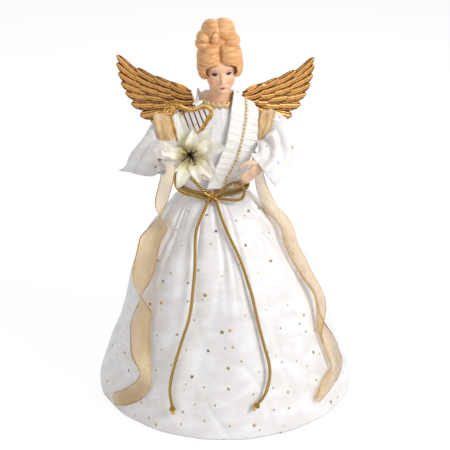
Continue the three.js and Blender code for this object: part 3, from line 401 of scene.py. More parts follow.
# Each row: height above the waist, half width, half depth
TORSO_TABLE = [(-5, 31.5, 29), (0, 31.5, 29), (50, 37.5, 29), (76, 38, 21), (92, 14, 14)]
BODICE_OUTER, SASH_OUTER, CORD_GAP = 1.6, 2.9, 0.3


def lerp(first, second, share):
    return first + (second - first) * share


def clamp(value):
    return min(max(value, 0.0), 1.0)


def ease(low, high, value):
    share = clamp((value - low) / (high - low))
    return share * share * (3 - 2 * share)


def lookup(table, at, k=1):
    """Column k of a table, on straight lines between its rows."""
    if at <= table[0][0]:
        return table[0][k]
    for before, after in zip(table, table[1:]):
        if at <= after[0]:
            return lerp(before[k], after[k], (at - before[0]) / (after[0] - before[0]))
    return table[-1][k]


def axis_x(z):
    if z <= WAIST:
        return WAIST_SHIFT * (z / WAIST) ** 2
    return lerp(WAIST_SHIFT, NECK_SHIFT, clamp((z - WAIST) / TORSO_HEIGHT))


def bell_radius(z):
    steps = (-BELL_SMOOTHING, 0, BELL_SMOOTHING)
    smoothed = sum(lookup(SKIRT_BELL, z / SKIRT_TOP + step) for step in steps) / 3
    return lerp(SKIRT_TOP_RADIUS, HEM_RADIUS, smoothed)


def torso_point(angle, rise, offset):
    wide, deep = lookup(TORSO_TABLE, rise, 1) + offset, lookup(TORSO_TABLE, rise, 2) + offset
    return Vector((axis_x(WAIST + rise) + wide * math.cos(angle), deep * math.sin(angle), WAIST + rise))


print("waist leans", axis_x(WAIST), "mm, skirt is", round(bell_radius(110)), "mm round at half height")

# %% [markdown]
# ## Tools for sheets and tubes
# A sheet of cloth is a grid of points with a flat map of the cut cloth. A tube is a grid that
# closes round a line. Both are plain mesh code, because cloth and cord have no
# primitive to start from, and Solidify gives the cloth its thickness.

# %% Grids
def mesh_object(name, points, faces, maps):
    mesh = bpy.data.meshes.new(name)
    mesh.from_pydata([Vector(point) * MM for point in points], [], faces)
    layer = mesh.uv_layers.new(name="UVMap")
    layer.data.foreach_set("uv", [number for pair in maps for number in pair])
    mesh.update()
    piece = bpy.data.objects.new(name, mesh)
    scene.collection.objects.link(piece)
    return piece


def grid_parts(rows, maps, around=False, base=0):
    """Faces of a grid and their map. Where it closes around, the map has one more column."""
    count = len(rows[0])
    spans = count if around else count - 1
    faces, corners = [], []
    for i in range(len(rows) - 1):
        for j in range(spans):
            k = (j + 1) % count
            faces.append([base + i * count + j, base + i * count + k,
                          base + (i + 1) * count + k, base + (i + 1) * count + j])
            corners += [maps[i][j], maps[i][j + 1], maps[i + 1][j + 1], maps[i + 1][j]]
    return faces, corners


def grid_object(name, rows, maps, around=False):
    faces, corners = grid_parts(rows, maps, around)
    return mesh_object(name, [point for row in rows for point in row], faces, corners)


# %% Modifiers, normals and hand-over to the frame
def select_only(piece):
    bpy.ops.object.select_all(action="DESELECT")
    piece.select_set(True)
    bpy.context.view_layer.objects.active = piece


def modify(piece, kind, **settings):
    select_only(piece)
    modifier = piece.modifiers.new(kind.lower(), kind)
    for key, value in settings.items():
        setattr(modifier, key, value)
    bpy.ops.object.modifier_apply(modifier=modifier.name)
    return piece


def face_out(piece):
    select_only(piece)
    bpy.ops.object.mode_set(mode="EDIT")
    bpy.ops.mesh.select_all(action="SELECT")
    bpy.ops.mesh.normals_make_consistent(inside=False)
    bpy.ops.object.mode_set(mode="OBJECT")
    return piece


def settle(piece, material, body, slot, *nodes, smooth=True):
    """Gives a piece its finish and its body, and hides the CAD nodes that it stands for. The slot is not
    used.
    """
    piece.data.materials.clear()
    piece.data.materials.append(material)
    if smooth:
        piece.data.shade_smooth()
    if body:
        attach(piece, body)
    if nodes:
        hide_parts(*nodes)
    print(piece.name, "rides on", body or "two bodies", "with", len(piece.data.polygons), "faces")
    return piece


# %% Cloth and tubes
def cloth_piece(name, rows, maps, thick, offset=0, around=False):
    """A sheet with its thickness, and the area of its cloth in square metres."""
    piece = face_out(grid_object(name, rows, maps, around))
    area = sum(face.area for face in piece.data.polygons)
    return modify(piece, "SOLIDIFY", thickness=thick * MM, offset=offset), area


def tubes_object(name, tubes, loops=()):
    """Tubes with closed ends, and loops that need none, as one mesh. Each is rings and a map."""
    points, faces, corners = [], [], []
    for k, (rows, maps) in enumerate([*loops, *tubes]):
        base, count = len(points), len(rows[0])
        more, places = grid_parts(rows, maps, around=True, base=base)
        faces += more
        corners += places
        if k >= len(loops):
            last = base + (len(rows) - 1) * count
            faces += [list(range(base, base + count))[::-1], list(range(last, last + count))]
            corners += maps[0][:count][::-1] + maps[-1][:count]
        points += [point for row in rows for point in row]
    return face_out(mesh_object(name, points, faces, corners))


# %% Smooth lines
FINE_STEPS = 24


def spline(a, b, c, d, t):
    """A smooth curve from b to c that heads as the neighbours a and d ask."""
    bend = (2 * a - 5 * b + 4 * c - d) * t * t
    return 0.5 * (2 * b + (c - a) * t + bend + (3 * b - a - 3 * c + d) * t ** 3)


def even_line(points, spacing, closed=False):
    """A smooth line through the points, cut to even steps of about the spacing, and its length."""
    pins = [Vector(point) for point in points]
    if closed:
        pins = [pins[-1]] + pins + pins[:2]
    else:
        pins = [pins[0] * 2 - pins[1]] + pins + [pins[-1] * 2 - pins[-2]]
    fine = [spline(*four, step / FINE_STEPS) for four in zip(pins, pins[1:], pins[2:], pins[3:])
            for step in range(FINE_STEPS)]
    fine.append(pins[-2])
    reached = [0.0]
    for before, after in zip(fine, fine[1:]):
        reached.append(reached[-1] + (after - before).length)
    count = max(2, round(reached[-1] / spacing))
    line, i = [], 0
    for step in range(count + 1):
        at = reached[-1] * step / count
        while i < len(reached) - 2 and reached[i + 1] < at:
            i += 1
        share = (at - reached[i]) / max(reached[i + 1] - reached[i], 1e-9)
        line.append(fine[i].lerp(fine[i + 1], clamp(share)))
    return line, reached[-1]


def heading(line, i):
    return (line[min(i + 1, len(line) - 1)] - line[max(i - 1, 0)]).normalized()


def frames_along(line, hint):
    """Point, sideways and upward direction at each step of a line."""
    found = []
    for i, point in enumerate(line):
        along = heading(line, i)
        side = along.cross(Vector(hint)).normalized()
        found.append((point, side, side.cross(along).normalized()))
    return found


def spoke(side, up, angle):
    return side * math.cos(angle) + up * math.sin(angle)


print("tools are ready, with", FINE_STEPS, "fine steps between two points of a line")

# %% [markdown]
# ## Cords
# A twisted gold cord goes round the waist, is tied in a bow at the front, and its two tails hang
# down the skirt to a knot each. A curve with a round bevel would be smooth, and the
# real cord shows its lay, so the section here has three lobes that turn along the line.

# %% A laid cord along a line
CORD_DIAMETER, LAID_ACROSS, LAY_LENGTH, CORD_SIDES, CORD_STEP = 3.0, 3.7, 9.0, 18, 0.5
STRAND_OFFSET, STRAND_RADIUS, GROOVE_REACH = 0.54, 0.46, 0.6


def lobe_reach(angle):
    """Outline of the strands as a share of the cord's radius."""
    near = (angle * STRANDS / TURN + 0.5) % 1 - 0.5
    turn = near * TURN / STRANDS
    aside = STRAND_OFFSET * math.sin(turn)
    bulge = STRAND_OFFSET * math.cos(turn) + math.sqrt(max(0.0, STRAND_RADIUS ** 2 - aside ** 2))
    return max(GROOVE_REACH, bulge)


def laid_rows(line, hint, diameter, spacing, lay):
    rows, maps = [], []
    for i, (point, side, up) in enumerate(frames_along(line, hint)):
        twist = TURN * i * spacing / lay
        angles = [TURN * k / CORD_SIDES for k in range(CORD_SIDES)]
        rows.append([point + spoke(side, up, a + twist) * (diameter / 2) * lobe_reach(a) for a in angles])
        maps.append([(i * spacing * MM, k / CORD_SIDES) for k in range(CORD_SIDES + 1)])
    return rows, maps


def laid_cord(name, points, hint, closed=False):
    """A cord through the points. The lay of a closed one is fitted to go round evenly."""
    line, length = even_line(points, CORD_STEP, closed)
    lay = length / round(length / LAY_LENGTH) if closed else LAY_LENGTH
    piece = tubes_object(name, [laid_rows(line, hint, LAID_ACROSS, length / (len(line) - 1), lay)])
    print(name, "is", round(length), "mm long")
    return piece, line, length * MM


# %% [markdown]
# Each tail ends in an overhand knot with a short frayed tuft. The knot is a trefoil, the
# simplest knotted loop, drawn tight, and every thread of the tuft is a thin tapered tube.

# %% Knot with a frayed tuft
KNOT_CORD, KNOT_LAY, KNOT_UNIT, KNOT_STEP, KNOT_PINS = 2.3, 4.0, 0.92, 0.45, 90
KNOT_LONG, KNOT_HIGH, KNOT_BEYOND = 1.15, 1.3, 3.6
TUFT_THREADS, THREAD_SIDES, GOLDEN_SHARE = 26, 4, 0.382
THREAD_TAPER = ((0, 0.32), (0.55, 0.26), (1, 0.06))
THREAD_LIT = 0.02


def trefoil(t):
    return math.sin(t) + 2 * math.sin(2 * t), math.cos(t) - 2 * math.cos(2 * t), -math.sin(3 * t)


def tail_knot(name, before, end):
    along = (end - before).normalized()
    side = along.cross(Vector((0, 1, 0))).normalized()
    up = side.cross(along)
    center = end + along * KNOT_BEYOND
    loop = []
    for i in range(KNOT_PINS):
        x, y, z = trefoil(TURN * i / KNOT_PINS)
        loop.append(center + (side * x + along * y * KNOT_LONG + up * z * KNOT_HIGH) * KNOT_UNIT)
    line, length = even_line(loop, KNOT_STEP, closed=True)
    threads = []
    for k in range(TUFT_THREADS):
        spread = 0.25 + 0.75 * (k % 5) / 5
        out = spoke(side, up, TURN * k * GOLDEN_SHARE)
        start = center + along * 2.2 + out * 0.9 * spread
        tip = start + along * (3.6 + k % 4 * 0.5) + out * 1.9 * spread
        rings = []
        for share, radius in THREAD_TAPER:
            middle = start.lerp(tip, share) + out * 0.5 * math.sin(share * math.pi)
            rings.append([middle + spoke(side, up, TURN * j / THREAD_SIDES) * radius
                          for j in range(THREAD_SIDES)])
        threads.append((rings, [[(0.01 * k, THREAD_LIT)] * (THREAD_SIDES + 1)] * len(rings)))
    knotted = laid_rows(line, up, KNOT_CORD, length / (len(line) - 1), KNOT_LAY)
    return tubes_object(name, threads, loops=[knotted])


# %% The two tails
LEFT_TAIL = [
    (-8.5, -38.5, 221.5), (-6.5, -44, 216), (-2.5, -53.5, 207.5), (3, -63, 197), (10.5, -73, 184.5),
    (16.5, -81, 173), (21.5, -88.5, 160), (26.5, -96, 146.5), (30, -101, 133), (33, -103.5, 120),
    (36.5, -106.5, 106), (40.5, -109.5, 91), (44.5, -112.5, 77), (46, -115.5, 65), (44.5, -120, 53.5),
    (40.5, -125, 44), (35, -129, 38),
]
RIGHT_TAIL = [
    (-18, -39, 221.5), (-21, -44.5, 216), (-26, -52.5, 207.5), (-29.5, -60, 198), (-30.5, -68.5, 187.5),
    (-30.5, -78, 175.5), (-31, -86.5, 163), (-32.5, -94.5, 148), (-34, -100, 134), (-37, -104.5, 118.5),
    (-41, -106.5, 106), (-45, -108.5, 93.5), (-50.5, -112, 75.5), (-55, -115, 58), (-56.5, -118.5, 44),
    (-54.5, -124, 32),
]
for side, route in (("left", LEFT_TAIL), ("right", RIGHT_TAIL)):
    tail, line, length = laid_cord(f"gold_cord_tail_{side}", route, (1, 0, 0))
    settle(tail, cord_gold, "root", "gold_cord", f"cord_tail_{side}")
    knot = tail_knot(f"gold_tail_knot_{side}", line[-2], line[-1])
    settle(knot, cord_gold, "root", "gold_cord", f"tail_knot_{side}")

# %% [markdown]
# The belt lies round the waist, and the bow's two loops leave it at the front: an open one, and a
# longer one that goes up behind the flower and comes back to the knot.

# %% Bow loops and belt
BELT_RISE, BELT_STEPS = 1.5, 48
BOW_CENTER = torso_point(-math.pi / 2, BELT_RISE, SASH_OUTER + CORD_GAP + CORD_DIAMETER * 1.5)
LEFT_LOOP = [
    (4, 0, 1.5), (8, -1, 5), (12, -2, 10), (17, -3, 14.5), (22.5, -3.5, 16.5), (28, -3.5, 14.5),
    (31.5, -3, 9), (31.5, -3, 3), (28.5, -3, -1.5), (22, -3, -3), (14, -2, -2.6), (9, -0.5, -2.6),
    (4, 0, -2.4),
]
RIGHT_LOOP = [
    (-4, 0, -2.2), (-11, -0.5, -1.5), (-20, 0, 0.8), (-29, 1, 2.5), (-36, 2, 7), (-39, 2, 14),
    (-39, 1, 22), (-35, -1, 28), (-29, -2, 27), (-21, -2, 19), (-13, -1.5, 10), (-8, -1, 5), (-4, 0, 1.8),
]
for side, route in (("left", LEFT_LOOP), ("right", RIGHT_LOOP)):
    places = [BOW_CENTER + Vector(place) for place in route]
    loop, line, length = laid_cord(f"gold_bow_loop_{side}", places, (0, 1, 0))
    settle(loop, cord_gold, "root", "gold_cord", f"bow_loop_{side}")

ring = [torso_point(TURN * k / BELT_STEPS, BELT_RISE, SASH_OUTER + CORD_GAP + CORD_DIAMETER / 2)
        for k in range(BELT_STEPS)]
belt, _, _ = laid_cord("gold_belt", ring, (0, 0, 1), closed=True)
settle(belt, cord_gold, "root", "gold_cord", "belt_cord")

# %% [markdown]
# ## Star over the bow
# A small moulded star covers the knot: a dozen rays, long and short, round a beaded button.
# One ray is a four-sided cone pressed flat, copied round the middle.

# %% Parts with one wear, and joining
def crest_map(piece, value):
    """One number for the whole piece's wear, in the first place of its map."""
    layer = piece.data.uv_layers.active or piece.data.uv_layers.new(name="UVMap")
    layer.data.foreach_set("uv", [value, 0.0] * len(layer.data))
    return piece


def bead_at(place, radius, crest=0.8):
    bpy.ops.object.select_all(action="DESELECT")
    bpy.ops.mesh.primitive_ico_sphere_add(subdivisions=2, radius=radius * MM, location=place * MM)
    return crest_map(bpy.context.object, crest)


def joined(name, pieces):
    bpy.ops.object.select_all(action="DESELECT")
    for piece in pieces:
        piece.select_set(True)
    bpy.context.view_layer.objects.active = pieces[0]
    bpy.ops.object.join()
    whole = bpy.context.object
    whole.name = whole.data.name = name
    bpy.ops.object.transform_apply(location=True, rotation=True, scale=True)
    return whole


# %% Star of rays
STAR_RAYS, STAR_MIDDLE = 12, BOW_CENTER + Vector((-1, -2.8, 0))
RAY_REACH, RAY_CREST = (8.6, 7.4), (0.66, 0.4)
RAY_FOOT, RAY_TIP, RAY_FLATNESS, RAY_START = 1.5, 0.5, 0.8, 0.6
BUTTON_BEADS, BUTTON_RADIUS, BUTTON_CREST = 8, 1.7, 0.55
SMALL_BEAD, MIDDLE_BEAD = 0.75, 1.1
BUTTON_MIDDLE = STAR_MIDDLE + Vector((0, -0.9, 0))
star_parts = []
for k in range(STAR_RAYS):
    angle, reach = TURN * k / STAR_RAYS, RAY_REACH[k % 2]
    bpy.ops.object.select_all(action="DESELECT")
    bpy.ops.mesh.primitive_cone_add(vertices=4, radius1=RAY_FOOT * MM, radius2=RAY_TIP * MM, depth=reach * MM)
    ray = bpy.context.object
    ray.scale = (1, RAY_FLATNESS, 1)
    ray.rotation_euler = (0, angle, 0)
    outward = Vector((math.sin(angle), 0, math.cos(angle)))
    ray.location = (STAR_MIDDLE + outward * (reach / 2 + RAY_START)) * MM
    star_parts.append(crest_map(ray, RAY_CREST[k % 2]))
for k in range(BUTTON_BEADS):
    angle = TURN * k / BUTTON_BEADS
    around = Vector((math.sin(angle), 0, math.cos(angle))) * BUTTON_RADIUS
    star_parts.append(bead_at(BUTTON_MIDDLE + around, SMALL_BEAD, BUTTON_CREST))
star_parts.append(bead_at(BUTTON_MIDDLE, MIDDLE_BEAD, BUTTON_CREST))
star = joined("gold_bow_star", star_parts)
settle(star, harp_gold, "root", "antique_gold", "belt_star", smooth=False)

# %% [markdown]
# ## Skirt
# The skirt is a flared panel of satin, gathered at the waist and glued round the cone. Small
# gathers under the belt run together into a few soft folds that die out towards the hem.
# A cloth simulation would settle differently with every change above it, so the folds are
# written as waves that only go inwards from the bell: ribbons and cords lie on its crests.

# %% Skirt folds
SKIRT_COLUMNS, SKIRT_ROWS, SKIRT_PEAK = 340, 100, 226.5
PEAK_WIDE, PEAK_DEEP, SKIRT_SLANT, SATIN_THICK = 34.9, 32.4, 246, 0.5
FOLDS, FOLD_DEPTH, GATHERS, GATHER_DEPTH = 9, 6.4, 11, 4.0
CRUMPLE_DEPTH, CREASE_DEPTH, HEM_WAVE = 2.0, 2.0, 0.9
CONE_SPREAD = (HEM_RADIUS - SKIRT_TOP_RADIUS) / SKIRT_SLANT
BACK = math.pi / 2


def skirt_fold(angle, z):
    """How far the cloth falls in from the bell at a place, in mm."""
    t = z / SKIRT_TOP
    round_place = Vector((math.cos(angle), math.sin(angle), 0))
    drift = noise.noise(round_place * 1.7 + Vector((3, 1, t * 1.2)))
    main = 0.5 - 0.5 * math.cos(FOLDS * angle + 3.4 * drift + 0.5 * math.sin(2.4 * t + angle))
    depth = FOLD_DEPTH * ease(0.02, 0.5, t) * (1 - ease(0.86, 1.0, t)) * (0.65 + 0.6 * drift)
    gather_drift = noise.noise(round_place * 4 + Vector((7, 2, t * 0.8)))
    gather = abs(math.sin(GATHERS * angle + 4.5 * gather_drift))
    pull = GATHER_DEPTH * ease(0.45, 0.86, t) * (1 - 0.75 * ease(0.93, 1.0, t))
    pull *= 0.35 + 1.3 * abs(gather_drift)
    spot = round_place * bell_radius(z) * 0.018
    crumple = noise.fractal(spot + Vector((0, 0, z * 0.013)), 0.9, 2.1, 4)
    crease = 1 - abs(noise.noise(spot * 1.5 + Vector((5, 5, z * 0.011 + angle * 0.3))))
    inward = (max(0.0, depth) * main + pull * (1 - gather)
              + CRUMPLE_DEPTH * abs(crumple) + CREASE_DEPTH * crease ** 6)
    hem_wave = HEM_WAVE * (1 - ease(0, 0.05, t)) * abs(math.sin(FOLDS * angle))
    return inward * (0.25 + 0.75 * ease(0.0, 0.07, t)) + hem_wave


def skirt_point(angle, z):
    if z <= SKIRT_TOP:
        reach = bell_radius(z) - skirt_fold(angle, z)
        return Vector((axis_x(z) + reach * math.cos(angle), reach * math.sin(angle), z))
    share = (z - SKIRT_TOP) / (SKIRT_PEAK - SKIRT_TOP)
    low = bell_radius(SKIRT_TOP) - skirt_fold(angle, SKIRT_TOP)
    wide, deep = lerp(low, PEAK_WIDE, share), lerp(low, PEAK_DEEP, share)
    return Vector((axis_x(z) + wide * math.cos(angle), deep * math.sin(angle), z))


# %% Skirt cloth
def skirt_grid():
    rows, maps, slant, before = [], [], 0.0, None
    for i in range(SKIRT_ROWS + 1):
        z = SKIRT_PEAK * (1 - (i / SKIRT_ROWS) ** 0.93)
        reach = bell_radius(min(z, SKIRT_TOP))
        if before:
            slant += math.hypot(z - before[0], reach - before[1])
        before = (z, reach)
        from_tip = slant + SKIRT_TOP_RADIUS / CONE_SPREAD
        angles = [BACK + TURN * j / SKIRT_COLUMNS for j in range(SKIRT_COLUMNS + 1)]
        rows.append([skirt_point(a, z) for a in angles[:-1]])
        maps.append([(from_tip * math.cos((a - BACK) * CONE_SPREAD) * MM,
                      from_tip * math.sin((a - BACK) * CONE_SPREAD) * MM) for a in angles])
    return rows, maps


skirt_rows, skirt_maps = skirt_grid()
skirt, skirt_area = cloth_piece("satin_skirt", skirt_rows, skirt_maps, SATIN_THICK, -1, around=True)
settle(skirt, satin, "root", "satin", "skirt")
print("skirt cloth measures", round(skirt_area, 3), "square metres")

# %% [markdown]
# ## Bodice
# The bodice is the same satin drawn over the torso. It is nearly smooth, with a few creases from
# the gathered neckline down, so the torso's rings are offset by a shallow wrinkle.

# %% Bodice
BODICE_COLUMNS, BODICE_ROWS, BODICE_LOW, BODICE_OVER = 132, 60, -3.6, 0.2
WRINKLE_DEPTH, FINE_WRINKLE, NECK_GATHERS, NECK_GATHER_DEPTH = 0.9, 0.5, 19, 0.45
MAP_MIDDLE, TORSO_RADIUS = 0.5, 34


def bodice_point(angle, rise):
    spot = Vector((math.cos(angle) * 2.0, math.sin(angle) * 2.0, rise * 0.05))
    wrinkle = WRINKLE_DEPTH * abs(noise.noise(spot)) + FINE_WRINKLE * abs(noise.noise(spot * 3))
    wave = abs(math.sin(NECK_GATHERS * angle + 2 * noise.noise(spot)))
    gather = NECK_GATHER_DEPTH * ease(58, 88, rise) * wave
    return torso_point(angle, rise, BODICE_OUTER + 0.3 - wrinkle - gather)


rows, maps = [], []
for i in range(BODICE_ROWS + 1):
    rise = lerp(TORSO_HEIGHT + BODICE_OVER, BODICE_LOW, i / BODICE_ROWS)
    angles = [BACK + TURN * j / BODICE_COLUMNS for j in range(BODICE_COLUMNS + 1)]
    rows.append([bodice_point(a, rise) for a in angles[:-1]])
    maps.append([(MAP_MIDDLE + (a - BACK) * TORSO_RADIUS * MM, MAP_MIDDLE + rise * MM) for a in angles])
bodice, bodice_area = cloth_piece("satin_bodice", rows, maps, SATIN_THICK, -1, around=True)
settle(bodice, satin, "root", "satin", "bodice")
print("bodice cloth measures", round(bodice_area, 4), "square metres")

# %% [markdown]
# ## Sash and shoulder ribbons
# Organza is wound round the waist above the belt, and a length of it goes over each
# shoulder. Both are gathered, so their rows ripple along the cloth.

# %% Sash
SASH_COLUMNS, SASH_ROWS, SASH_MAP_LENGTH, ORGANZA_THICK = 120, 14, 3.0, 0.3
SASH_HIGH, SASH_TUCKED, SASH_LOW = 12.5, 4.5, -3.5
SASH_SUNK, RIPPLE_DEPTH, RIPPLE_TURN = 0.45, 0.4, 19
rows, maps = [], []
for i in range(SASH_ROWS + 1):
    share = i / SASH_ROWS
    row = []
    for j in range(SASH_COLUMNS):
        angle = BACK + TURN * j / SASH_COLUMNS
        tucked = ease(-0.2, 0.5, -math.sin(angle)) * ease(-0.45, 0.1, -math.cos(angle))
        rise = lerp(lerp(SASH_HIGH, SASH_TUCKED, tucked), SASH_LOW, share)
        drift = noise.noise(Vector((math.cos(angle), math.sin(angle), share)) * 2)
        ripple = math.sin(share * RIPPLE_TURN + 1.3 * drift)
        row.append(torso_point(angle, rise, SASH_OUTER - SASH_SUNK + RIPPLE_DEPTH * ripple))
    rows.append(row)
    maps.append([(share, SASH_MAP_LENGTH * j / SASH_COLUMNS) for j in range(SASH_COLUMNS + 1)])
sash, _ = cloth_piece("organza_sash", rows, maps, ORGANZA_THICK, -1, around=True)
settle(sash, sash_organza, "root", "organza", "waist_sash")

# %% Shoulder ribbons
RIBBON_COLUMNS, STRAP_STEP = 20, 1.2
# Each station: place, half width
LEFT_STRAP = [
    ((42, 18, 294), 8), ((44, 12, 303), 8), ((44.5, 3, 308.5), 8), ((43, -8, 307.5), 8),
    ((41, -15.5, 301.5), 7.6), ((39.4, -19.4, 294), 6.6), ((38.2, -20.6, 286.5), 4.5), ((37.4, -20, 279), 2),
]
RIGHT_STRAP = [
    ((-62, 18, 290), 9), ((-64, 12, 299), 9.3), ((-65, 3, 305), 9.6), ((-64.5, -8, 304.2), 9.5),
    ((-62.5, -17, 298.5), 9), ((-60.5, -23.5, 290.5), 8.4), ((-58.5, -25, 282), 7), ((-56, -20, 277), 5),
]


def stations_along(route):
    """Each station's share of the length, with its numbers."""
    places = [Vector(place) for place, *_ in route]
    runs = [0.0]
    for before, after in zip(places, places[1:]):
        runs.append(runs[-1] + (after - before).length)
    return [(run / runs[-1], *numbers) for run, (_, *numbers) in zip(runs, route)]


def shoulder_strap(name, route, lean):
    """A strip over the sleeve's head, gathered where its half width is small."""
    line, length = even_line([place for place, _ in route], STRAP_STEP)
    table = stations_along(route)
    leaning = Vector((1, 0, lean))
    rows, maps = [], []
    for i, point in enumerate(line):
        share = i / (len(line) - 1)
        half = lookup(table, share)
        along = heading(line, i)
        across = (leaning - along * along.dot(leaning)).normalized()
        out = along.cross(across).normalized()
        row = []
        for j in range(RIBBON_COLUMNS + 1):
            u = 2 * j / RIBBON_COLUMNS - 1
            drift = noise.noise(Vector((u * 1.5, share * 2, half)))
            pucker = 0.45 * math.sin(u * 7 + 3 * drift) * (1 + 6 / (half + 3))
            row.append(point + across * half * u - out * (1.4 * u * u - pucker))
        rows.append(row)
        maps.append([(j / RIBBON_COLUMNS, share) for j in range(RIBBON_COLUMNS + 1)])
    piece, _ = cloth_piece(name, rows, maps, ORGANZA_THICK)
    return piece, length * MM


for side, route, lean in (("left", LEFT_STRAP, 0.08), ("right", RIGHT_STRAP, -0.05)):
    ribbon, length = shoulder_strap(f"organza_shoulder_{side}", route, lean)
    settle(ribbon, sash_organza, None, "organza", f"shoulder_ribbon_{side}")
    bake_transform(ribbon)
    print(ribbon.name, "is", round(length, 3), "m long")

# %% [markdown]
# ## Hanging ribbons
# Two wired ribbons come out from behind the arms and hang over the skirt. The wire makes them
# curl and turn over, so seen from the front the edges cross and part again. A strip is
# bent to an arc across its width, and the arc rolls over along the length.

# %% Ribbon stations
# Each station: place, half width, roll in degrees
LEFT_RIBBON = [
    ((19, 8, 262), 2, -60), ((26, 5, 261), 4, -62), ((31.5, -2, 256), 8, -64), ((34.5, -10, 248), 10, -65),
    ((36.5, -13.5, 238), 11, -66), ((40.5, -15, 224), 12, -66), ((48, -15, 205), 13, -64),
    ((58, -23, 188.5), 13.5, -56), ((65.5, -37, 176), 13.5, -48), ((73.5, -47, 161), 13.5, -46),
    ((83, -51, 143), 13, -52), ((92, -50, 124), 12.5, -66), ((97, -52, 110), 12, -96),
    ((99, -56, 96), 11.5, -140), ((103, -57, 80), 12, -196), ((109, -57, 64), 12.5, -226),
    ((113, -59, 51), 12, -236), ((114.5, -63, 41), 11, -262), ((111, -74, 35), 10.5, -238),
    ((103, -88, 29), 9.5, -205), ((96, -100, 23), 6, -182),
]
RIGHT_RIBBON = [
    ((-39, 8, 264), 2, 50), ((-47, 5, 263.5), 4, 54), ((-54, -3, 258.5), 7.5, 58), ((-58.5, -13, 248), 8, 62),
    ((-62, -20, 235), 8, 66), ((-65, -24, 219), 8, 84), ((-66.5, -28, 204), 9.5, 142),
    ((-69, -34, 192), 12, 200), ((-72.5, -42, 180), 13.5, 224), ((-76.5, -52, 167), 14, 224),
    ((-80, -61, 154), 13.5, 232), ((-83.5, -67, 141), 12.5, 262), ((-85, -71, 130), 12, 312),
    ((-86, -74, 115), 13, 368), ((-86, -78, 102), 14, 392), ((-85, -83, 90), 14.5, 398),
    ((-83, -89, 78), 14, 408), ((-79, -96, 67), 12.5, 432), ((-78, -101, 57), 11.5, 446),
    ((-82, -103, 44), 11, 420), ((-94, -98, 30), 10, 388), ((-109, -88, 18), 8.5, 368),
    ((-119, -77, 11), 7.5, 360),
]

# %% Ribbon cloth
RIBBON_STEP, RIBBON_THICK, RIBBON_MAP_SCALE = 2.0, 0.25, 20
OVER_SKIRT, FLUTTER, PRESSED_FLAT = 2, 0.6, 0.15


def hanging_ribbon(name, route, curled):
    """A strip that rolls over along its length and is pressed flat where it meets the skirt."""
    line, length = even_line([place for place, *_ in route], RIBBON_STEP)
    table = stations_along(route)
    rows, maps = [], []
    for i, point in enumerate(line):
        share = i / (len(line) - 1)
        half, roll = lookup(table, share, 1), math.radians(lookup(table, share, 2))
        along = heading(line, i)
        outward = Vector((point.x - axis_x(point.z), point.y, 0.25 * HEM_RADIUS)).normalized()
        across = along.cross(outward).normalized()
        out = across.cross(along).normalized()
        curl = curled + 0.3 * math.sin(share * 13)
        radius = half / curl
        room = math.hypot(point.x - axis_x(point.z), point.y) - bell_radius(min(point.z, SKIRT_TOP))
        lifted = 0.45 * half * abs(math.sin(roll)) - max(0.0, room - OVER_SKIRT)
        middle = point + out * max(0.0, lifted)
        lowest = 0.5 - max(room, OVER_SKIRT)
        row = []
        for j in range(RIBBON_COLUMNS + 1):
            u = 2 * j / RIBBON_COLUMNS - 1
            sideways = radius * math.sin(curl * u)
            lift = radius * (math.cos(curl * u) - math.cos(curl) * 0.5 - 0.5)
            flutter = FLUTTER * math.sin(share * 50 + 3 * u) * u * u
            x = sideways * math.cos(roll) - lift * math.sin(roll)
            y = sideways * math.sin(roll) + lift * math.cos(roll) + flutter
            y = y if y > lowest else lowest + (y - lowest) * PRESSED_FLAT
            row.append(middle + across * x + out * y)
        rows.append(row)
        maps.append([(j / RIBBON_COLUMNS, share * length * MM * RIBBON_MAP_SCALE)
                     for j in range(RIBBON_COLUMNS + 1)])
    piece, cloth = cloth_piece(name, rows, maps, RIBBON_THICK)
    return piece, cloth, length * MM


for side, route, curled in (("left", LEFT_RIBBON, 1.75), ("right", RIGHT_RIBBON, 0.6)):
    ribbon, cloth, length = hanging_ribbon(f"organza_ribbon_{side}", route, curled)
    settle(ribbon, organza, "root", "organza", f"ribbon_{side}")
    print(ribbon.name, "is", round(length, 3), "m long and", round(cloth / length, 3), "m wide")

# %% [markdown]
# ## Sleeves
# Each sleeve is a wide puff of satin that is gathered at the shoulder and opens to a bell at the
# wrist. The left one opens towards the hand, and its corner droops. The right one hangs
# open downwards, and is cut higher where the arm comes out. Each turns with its arm, and its
# head is round so that it can.

# %% Sleeve stations
SHOULDER_Z = 301
SHOULDER_X = {"left": 33.98, "right": -47.9}
# Each station: place from the shoulder, aim of the cloth, its outer side, half depth, half height
LEFT_SLEEVE = [
    ((0.3, 0, -2), (1, 0, 0), (0, 0, 1), 3.2, 3.2), ((2.5, 0, -4), (1, 0, 0), (0, 0, 1), 10.5, 9.5),
    ((8, -1, -5.5), (0.97, -0.1, -0.2), (0.2, 0, 1), 13.5, 12),
    ((15.5, -4, -8), (0.8, -0.25, -0.5), (0.5, 0, 0.8), 16, 15),
    ((19, -10, -14), (0.35, -0.45, -0.8), (0.9, 0, 0.4), 18, 19),
    ((19, -18, -22), (-0.05, -0.6, -0.8), (1, 0, 0), 18.5, 20.4),
    ((17, -27, -29.5), (-0.35, -0.6, -0.72), (0.9, 0, -0.4), 19, 20.6),
    ((12.5, -37, -36.5), (-0.6, -0.45, -0.66), (0.72, 0, -0.66), 18.5, 19.6),
    ((4, -44.5, -41), (-0.8, -0.2, -0.57), (0.58, 0, -0.82), 17, 21.5),
]
